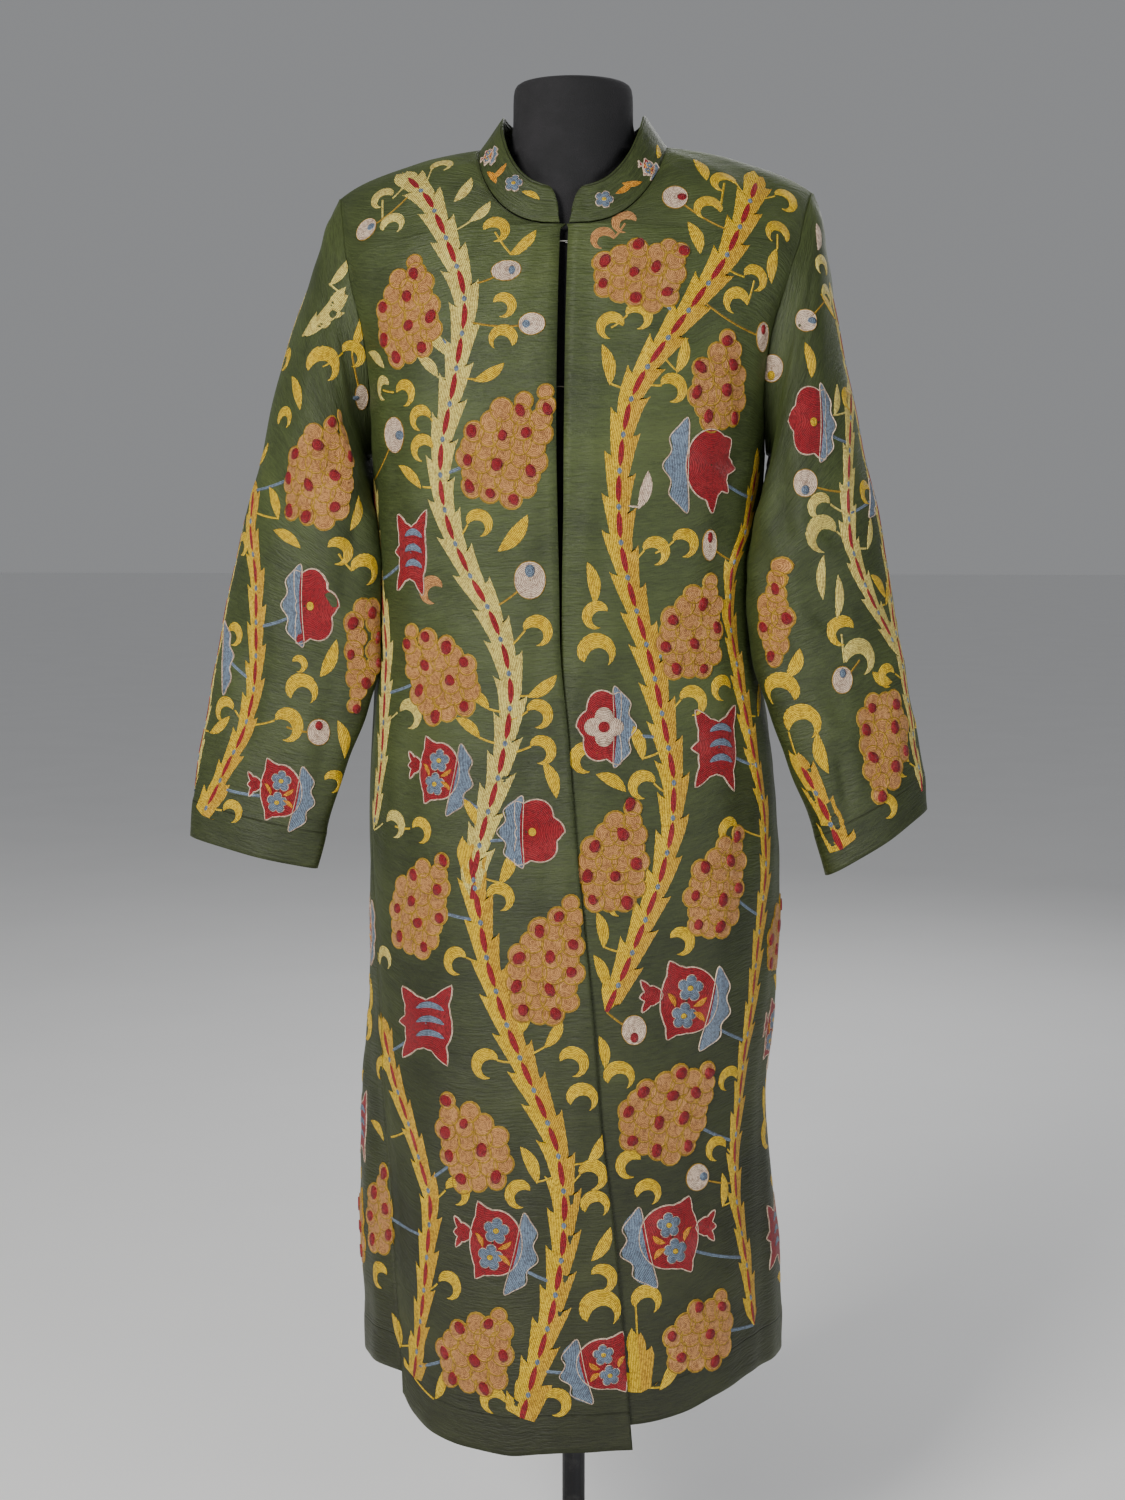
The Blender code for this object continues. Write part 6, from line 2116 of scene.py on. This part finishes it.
@dataclass
class DressForm:
    """The velvet torso with its flat-topped neck."""
    sides: int = 72
    subdivisions: int = 1

    def outline(self, turns: Array, level: FormRing) -> Array:
        """Ring in plan, joined smoothly with the neck where it applies."""
        direction = stack(np.sin(turns), -np.cos(turns))
        depth = np.where(direction[:, 1] < 0, level.front, level.back)
        reach = ((np.abs(direction[:, 0]) / level.half_width) ** level.squareness
                 + (np.abs(direction[:, 1]) / depth) ** level.squareness) ** (-1.0 / level.squareness)
        if level.height > FORM_NECK_STARTS_Z:
            along = direction[:, 1] * NECK_SETBACK
            neck = along + np.sqrt(np.maximum(along ** 2 + NECK_RADIUS ** 2 - NECK_SETBACK ** 2, 0.0))
            reach = (reach ** NECK_BLEND_POWER + neck ** NECK_BLEND_POWER) ** (1.0 / NECK_BLEND_POWER)
        return direction * reach[:, None]

    @staticmethod
    def robe_depth(x: Array, z: Array, back: Array) -> Array:
        """How far in front of or behind the shoulder line the robe's middle lies."""
        _, rise, depth, inward = BODY.climb(x, z, back)
        part = np.abs(x - read(RISES, "shift", rise)) / read(RISES, "half_width", rise)
        squareness = read(RISES, "squareness", rise)
        within = np.maximum(1.0 - part ** squareness, 0.0) ** (1.0 / squareness)
        return depth * within * inward

    def seated(self, ring: Array) -> Array:
        """Keep a ring under the robe's cloth, which rests on the form's shoulders."""
        x, y, z = ring[:, 0], ring[:, 1], ring[:, 2]
        from_neck = np.hypot(x, y - NECK_SETBACK)
        free = (z < UNDERARM_Z + FORM_SEAT) | (from_neck < NECK_RADIUS + FORM_NECK_CLEAR)
        limit = np.maximum(self.robe_depth(x, z + FORM_SEAT, y > 0) - FORM_SIDE_CLEAR, 0.0)
        kept = np.sign(y) * np.minimum(np.abs(y), limit)
        return stack(x, np.where(free, y, kept), z)

    def rings(self) -> list:
        """Rings from the flat bottom to the flat top of the neck."""
        turns = math.tau * np.arange(self.sides) / self.sides
        widest = FORM[-1]
        levels = list(FORM)
        for reach in FORM_SHOULDER_REACHES:
            share = reach / widest.half_width
            levels.append(FormRing(float(ridge_height(reach)) - FORM_SEAT, reach,
                                   widest.front * share ** 0.8, widest.back * share ** 0.8,
                                   widest.squareness))
        rings = []
        for level in levels:
            flat = self.outline(turns, level)
            rings.append(self.seated(np.column_stack([flat, np.full(self.sides, level.height)])))
        for height, inset in NECK_EDGES:
            radius = NECK_RADIUS - inset
            rings.append(np.column_stack([radius * np.sin(turns), NECK_SETBACK - radius * np.cos(turns),
                                          np.full(self.sides, height)]))
        return rings

    def build(self) -> bpy.types.Object:
        """Make the form and dress it in velvet."""
        rings = self.rings()
        for share in (0.55, 0.10):
            centre = rings[-1].mean(axis=0)
            rings.append(centre + (rings[-1] - centre) * share)
        shape = bmesh.new()
        grid = [[shape.verts.new(point) for point in ring] for ring in rings]
        for low, high in zip(grid, grid[1:]):
            for step in range(self.sides):
                after = (step + 1) % self.sides
                shape.faces.new((low[step], low[after], high[after], high[step]))
        shape.faces.new(grid[0])
        shape.faces.new(grid[-1])
        bmesh.ops.recalc_face_normals(shape, faces=shape.faces)
        mesh = bpy.data.meshes.new("form")
        shape.to_mesh(mesh)
        shape.free()
        mesh.shade_smooth()
        piece = shown("form_velvet", mesh)
        rounding = piece.modifiers.new("Rounding", "SUBSURF")
        rounding.levels = rounding.render_levels = self.subdivisions
        mesh.materials.append(Velvet().material("velvet"))
        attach(piece, "root")
        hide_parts("form_body")
        LOG.info("form: %d rings", len(rings))
        return piece


@dataclass(frozen=True)
class Hardware:
    """Stand parts, hooks and eyes keep their CAD shape and get their finishes."""
    stand: Metal = Metal((0.030, 0.030, 0.032), (0.075, 0.072, 0.070), 0.42, 0.8)
    brass: Metal = Metal((0.55, 0.54, 0.50), (0.32, 0.29, 0.24), 0.32, 1.0)
    dark_wire: Metal = Metal((0.035, 0.033, 0.028), (0.090, 0.080, 0.060), 0.45, 1.0)

    def dress(self) -> None:
        """Give each CAD node its finish."""
        painted = self.stand.material("stand_metal")
        wire = self.brass.material("hook_metal")
        dull = self.dark_wire.material("dark_hook_metal")
        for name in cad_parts:
            node = bpy.data.objects.get(name)
            if node is None or node.type != "MESH":
                continue
            if name.startswith(("hook", "eye")):
                finish, slot = wire if name.endswith("_1") else dull, "hook_metal"
            elif name.startswith("stand") or name == "form_socket":
                finish, slot = painted, "stand_metal"
            else:
                continue
            node.data.materials.clear()
            node.data.materials.append(finish)
        LOG.info("hardware: dressed")


# Studio

@dataclass(frozen=True)
class Lamp:
    """A soft area light that looks at the robe."""
    name: str
    place: tuple
    size: float
    watts: float
    colour: tuple = (1.0, 1.0, 1.0)

    def build(self, target: Vector) -> None:
        """Hang the light."""
        data = bpy.data.lights.new(self.name, "AREA")
        data.energy = self.watts
        data.size = self.size
        data.color = self.colour
        lamp = shown(self.name, data)
        lamp.location = self.place
        lamp.rotation_euler = (target - Vector(self.place)).to_track_quat("-Z", "Y").to_euler()


@dataclass(frozen=True)
class Studio:
    """Pale floor, soft lights and the camera at the photograph's angle."""
    floor_half: float = 40.0
    floor_colour: tuple = (0.93, 0.93, 0.93)
    world: tuple = (0.66, 0.67, 0.69)
    world_strength: float = 0.40
    lamps: tuple = (
        Lamp("key", (-1.5, -2.7, 2.2), 1.1, 120.0, (1.0, 0.98, 0.94)),
        Lamp("fill", (2.2, -2.6, 1.1), 2.0, 42.0, (0.97, 0.98, 1.0)),
        Lamp("rim", (0.9, 2.4, 2.6), 2.0, 36.0),
    )

    def build(self) -> None:
        """Make the floor, lights, world and camera."""
        half = self.floor_half
        mesh = bpy.data.meshes.new("floor")
        mesh.from_pydata([(-half, -half, 0), (half, -half, 0), (half, half, 0), (-half, half, 0)], [],
                         [(0, 1, 2, 3)])
        shader = Shader("floor")
        place = shader.place()
        cloud = shader.noise(place, 3.0, 4.0)
        pale = self.floor_colour
        mesh.materials.append(shader.finish(
            Base_Color=shader.mix(cloud, pale, tuple(0.94 * part for part in pale)), Roughness=0.9))
        shown("floor", mesh)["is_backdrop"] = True
        world = bpy.data.worlds.new("studio")
        world.use_nodes = True
        background = world.node_tree.nodes["Background"]
        background.inputs["Color"].default_value = (*self.world, 1.0)
        background.inputs["Strength"].default_value = self.world_strength
        bpy.context.scene.world = world
        for lamp in self.lamps:
            lamp.build(Vector((0.0, 0.0, 0.85)))
        view = View()
        data = bpy.data.cameras.new("camera")
        data.lens = FOCAL_PIXELS / PHOTO_HEIGHT * 36.0
        data.sensor_width = 36.0
        camera = shown("camera", data)
        camera.location = view.origin
        camera.rotation_euler = (math.radians(90.0 - CAMERA_TILT), 0.0, math.radians(view.azimuth))
        bpy.context.scene.camera = camera
        LOG.info("studio: ready")


def write_sizes() -> None:
    """Measure the CAD model's box and the visual model's box."""
    boxes = {name: [list(corner) for corner in box]
             for name, box in (("cad", CAD_BOX), ("visual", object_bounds()))}


def main() -> None:
    """Build the robe, the form, the hardware and the studio."""
    logging.basicConfig(level=logging.INFO, format="%(name)s: %(message)s", stream=sys.stdout)
    silk = Silk().material("silk")
    right_front = FrontPanel("right_front", side=-1, creases=RIGHT_FRONT_CREASES)
    left_front = FrontPanel("left_front", side=1, creases=LEFT_FRONT_CREASES)
    back = BackPanel("back")
    right_sleeve = Sleeve("right_sleeve", side=-1, table=RIGHT_SLEEVE, creases=RIGHT_SLEEVE_CREASES)
    left_sleeve = Sleeve("left_sleeve", side=1, table=LEFT_SLEEVE, creases=LEFT_SLEEVE_CREASES)
    collar = Collar("collar")
    cloths = (right_front, left_front, back, right_sleeve, left_sleeve, collar)
    for cloth in cloths:
        cloth.build()
        cloth.piece.data.materials.append(silk)
    embroidery = Embroidery(cloths)
    for garden in (RIGHT_FRONT_GARDEN, LEFT_FRONT_GARDEN, RIGHT_SLEEVE_GARDEN, LEFT_SLEEVE_GARDEN,
                   COLLAR_GARDEN, back_garden(),
                   side_garden(90.0, ("left_front", "back"), 604, 915),
                   side_garden(-90.0, ("right_front", "back"), 560, 915),
                   sleeve_back_garden("left_sleeve", (348, 330), (276, 812)),
                   sleeve_back_garden("right_sleeve", (803, 330), (889, 812)),
                   sleeve_edge_garden(90.0, "left_sleeve", (556, 262), (548, 835)),
                   sleeve_edge_garden(-90.0, "right_sleeve", (592, 262), (612, 850))):
        embroidery.grow(garden)
    pieces = embroidery.build()
    for cloth in cloths:
        cloth.declare([pieces[cloth.name]] if cloth.name in pieces else [])
    DressForm().build()
    Hardware().dress()
    Studio().build()
    write_sizes()


if __name__ == "__main__":
    main()
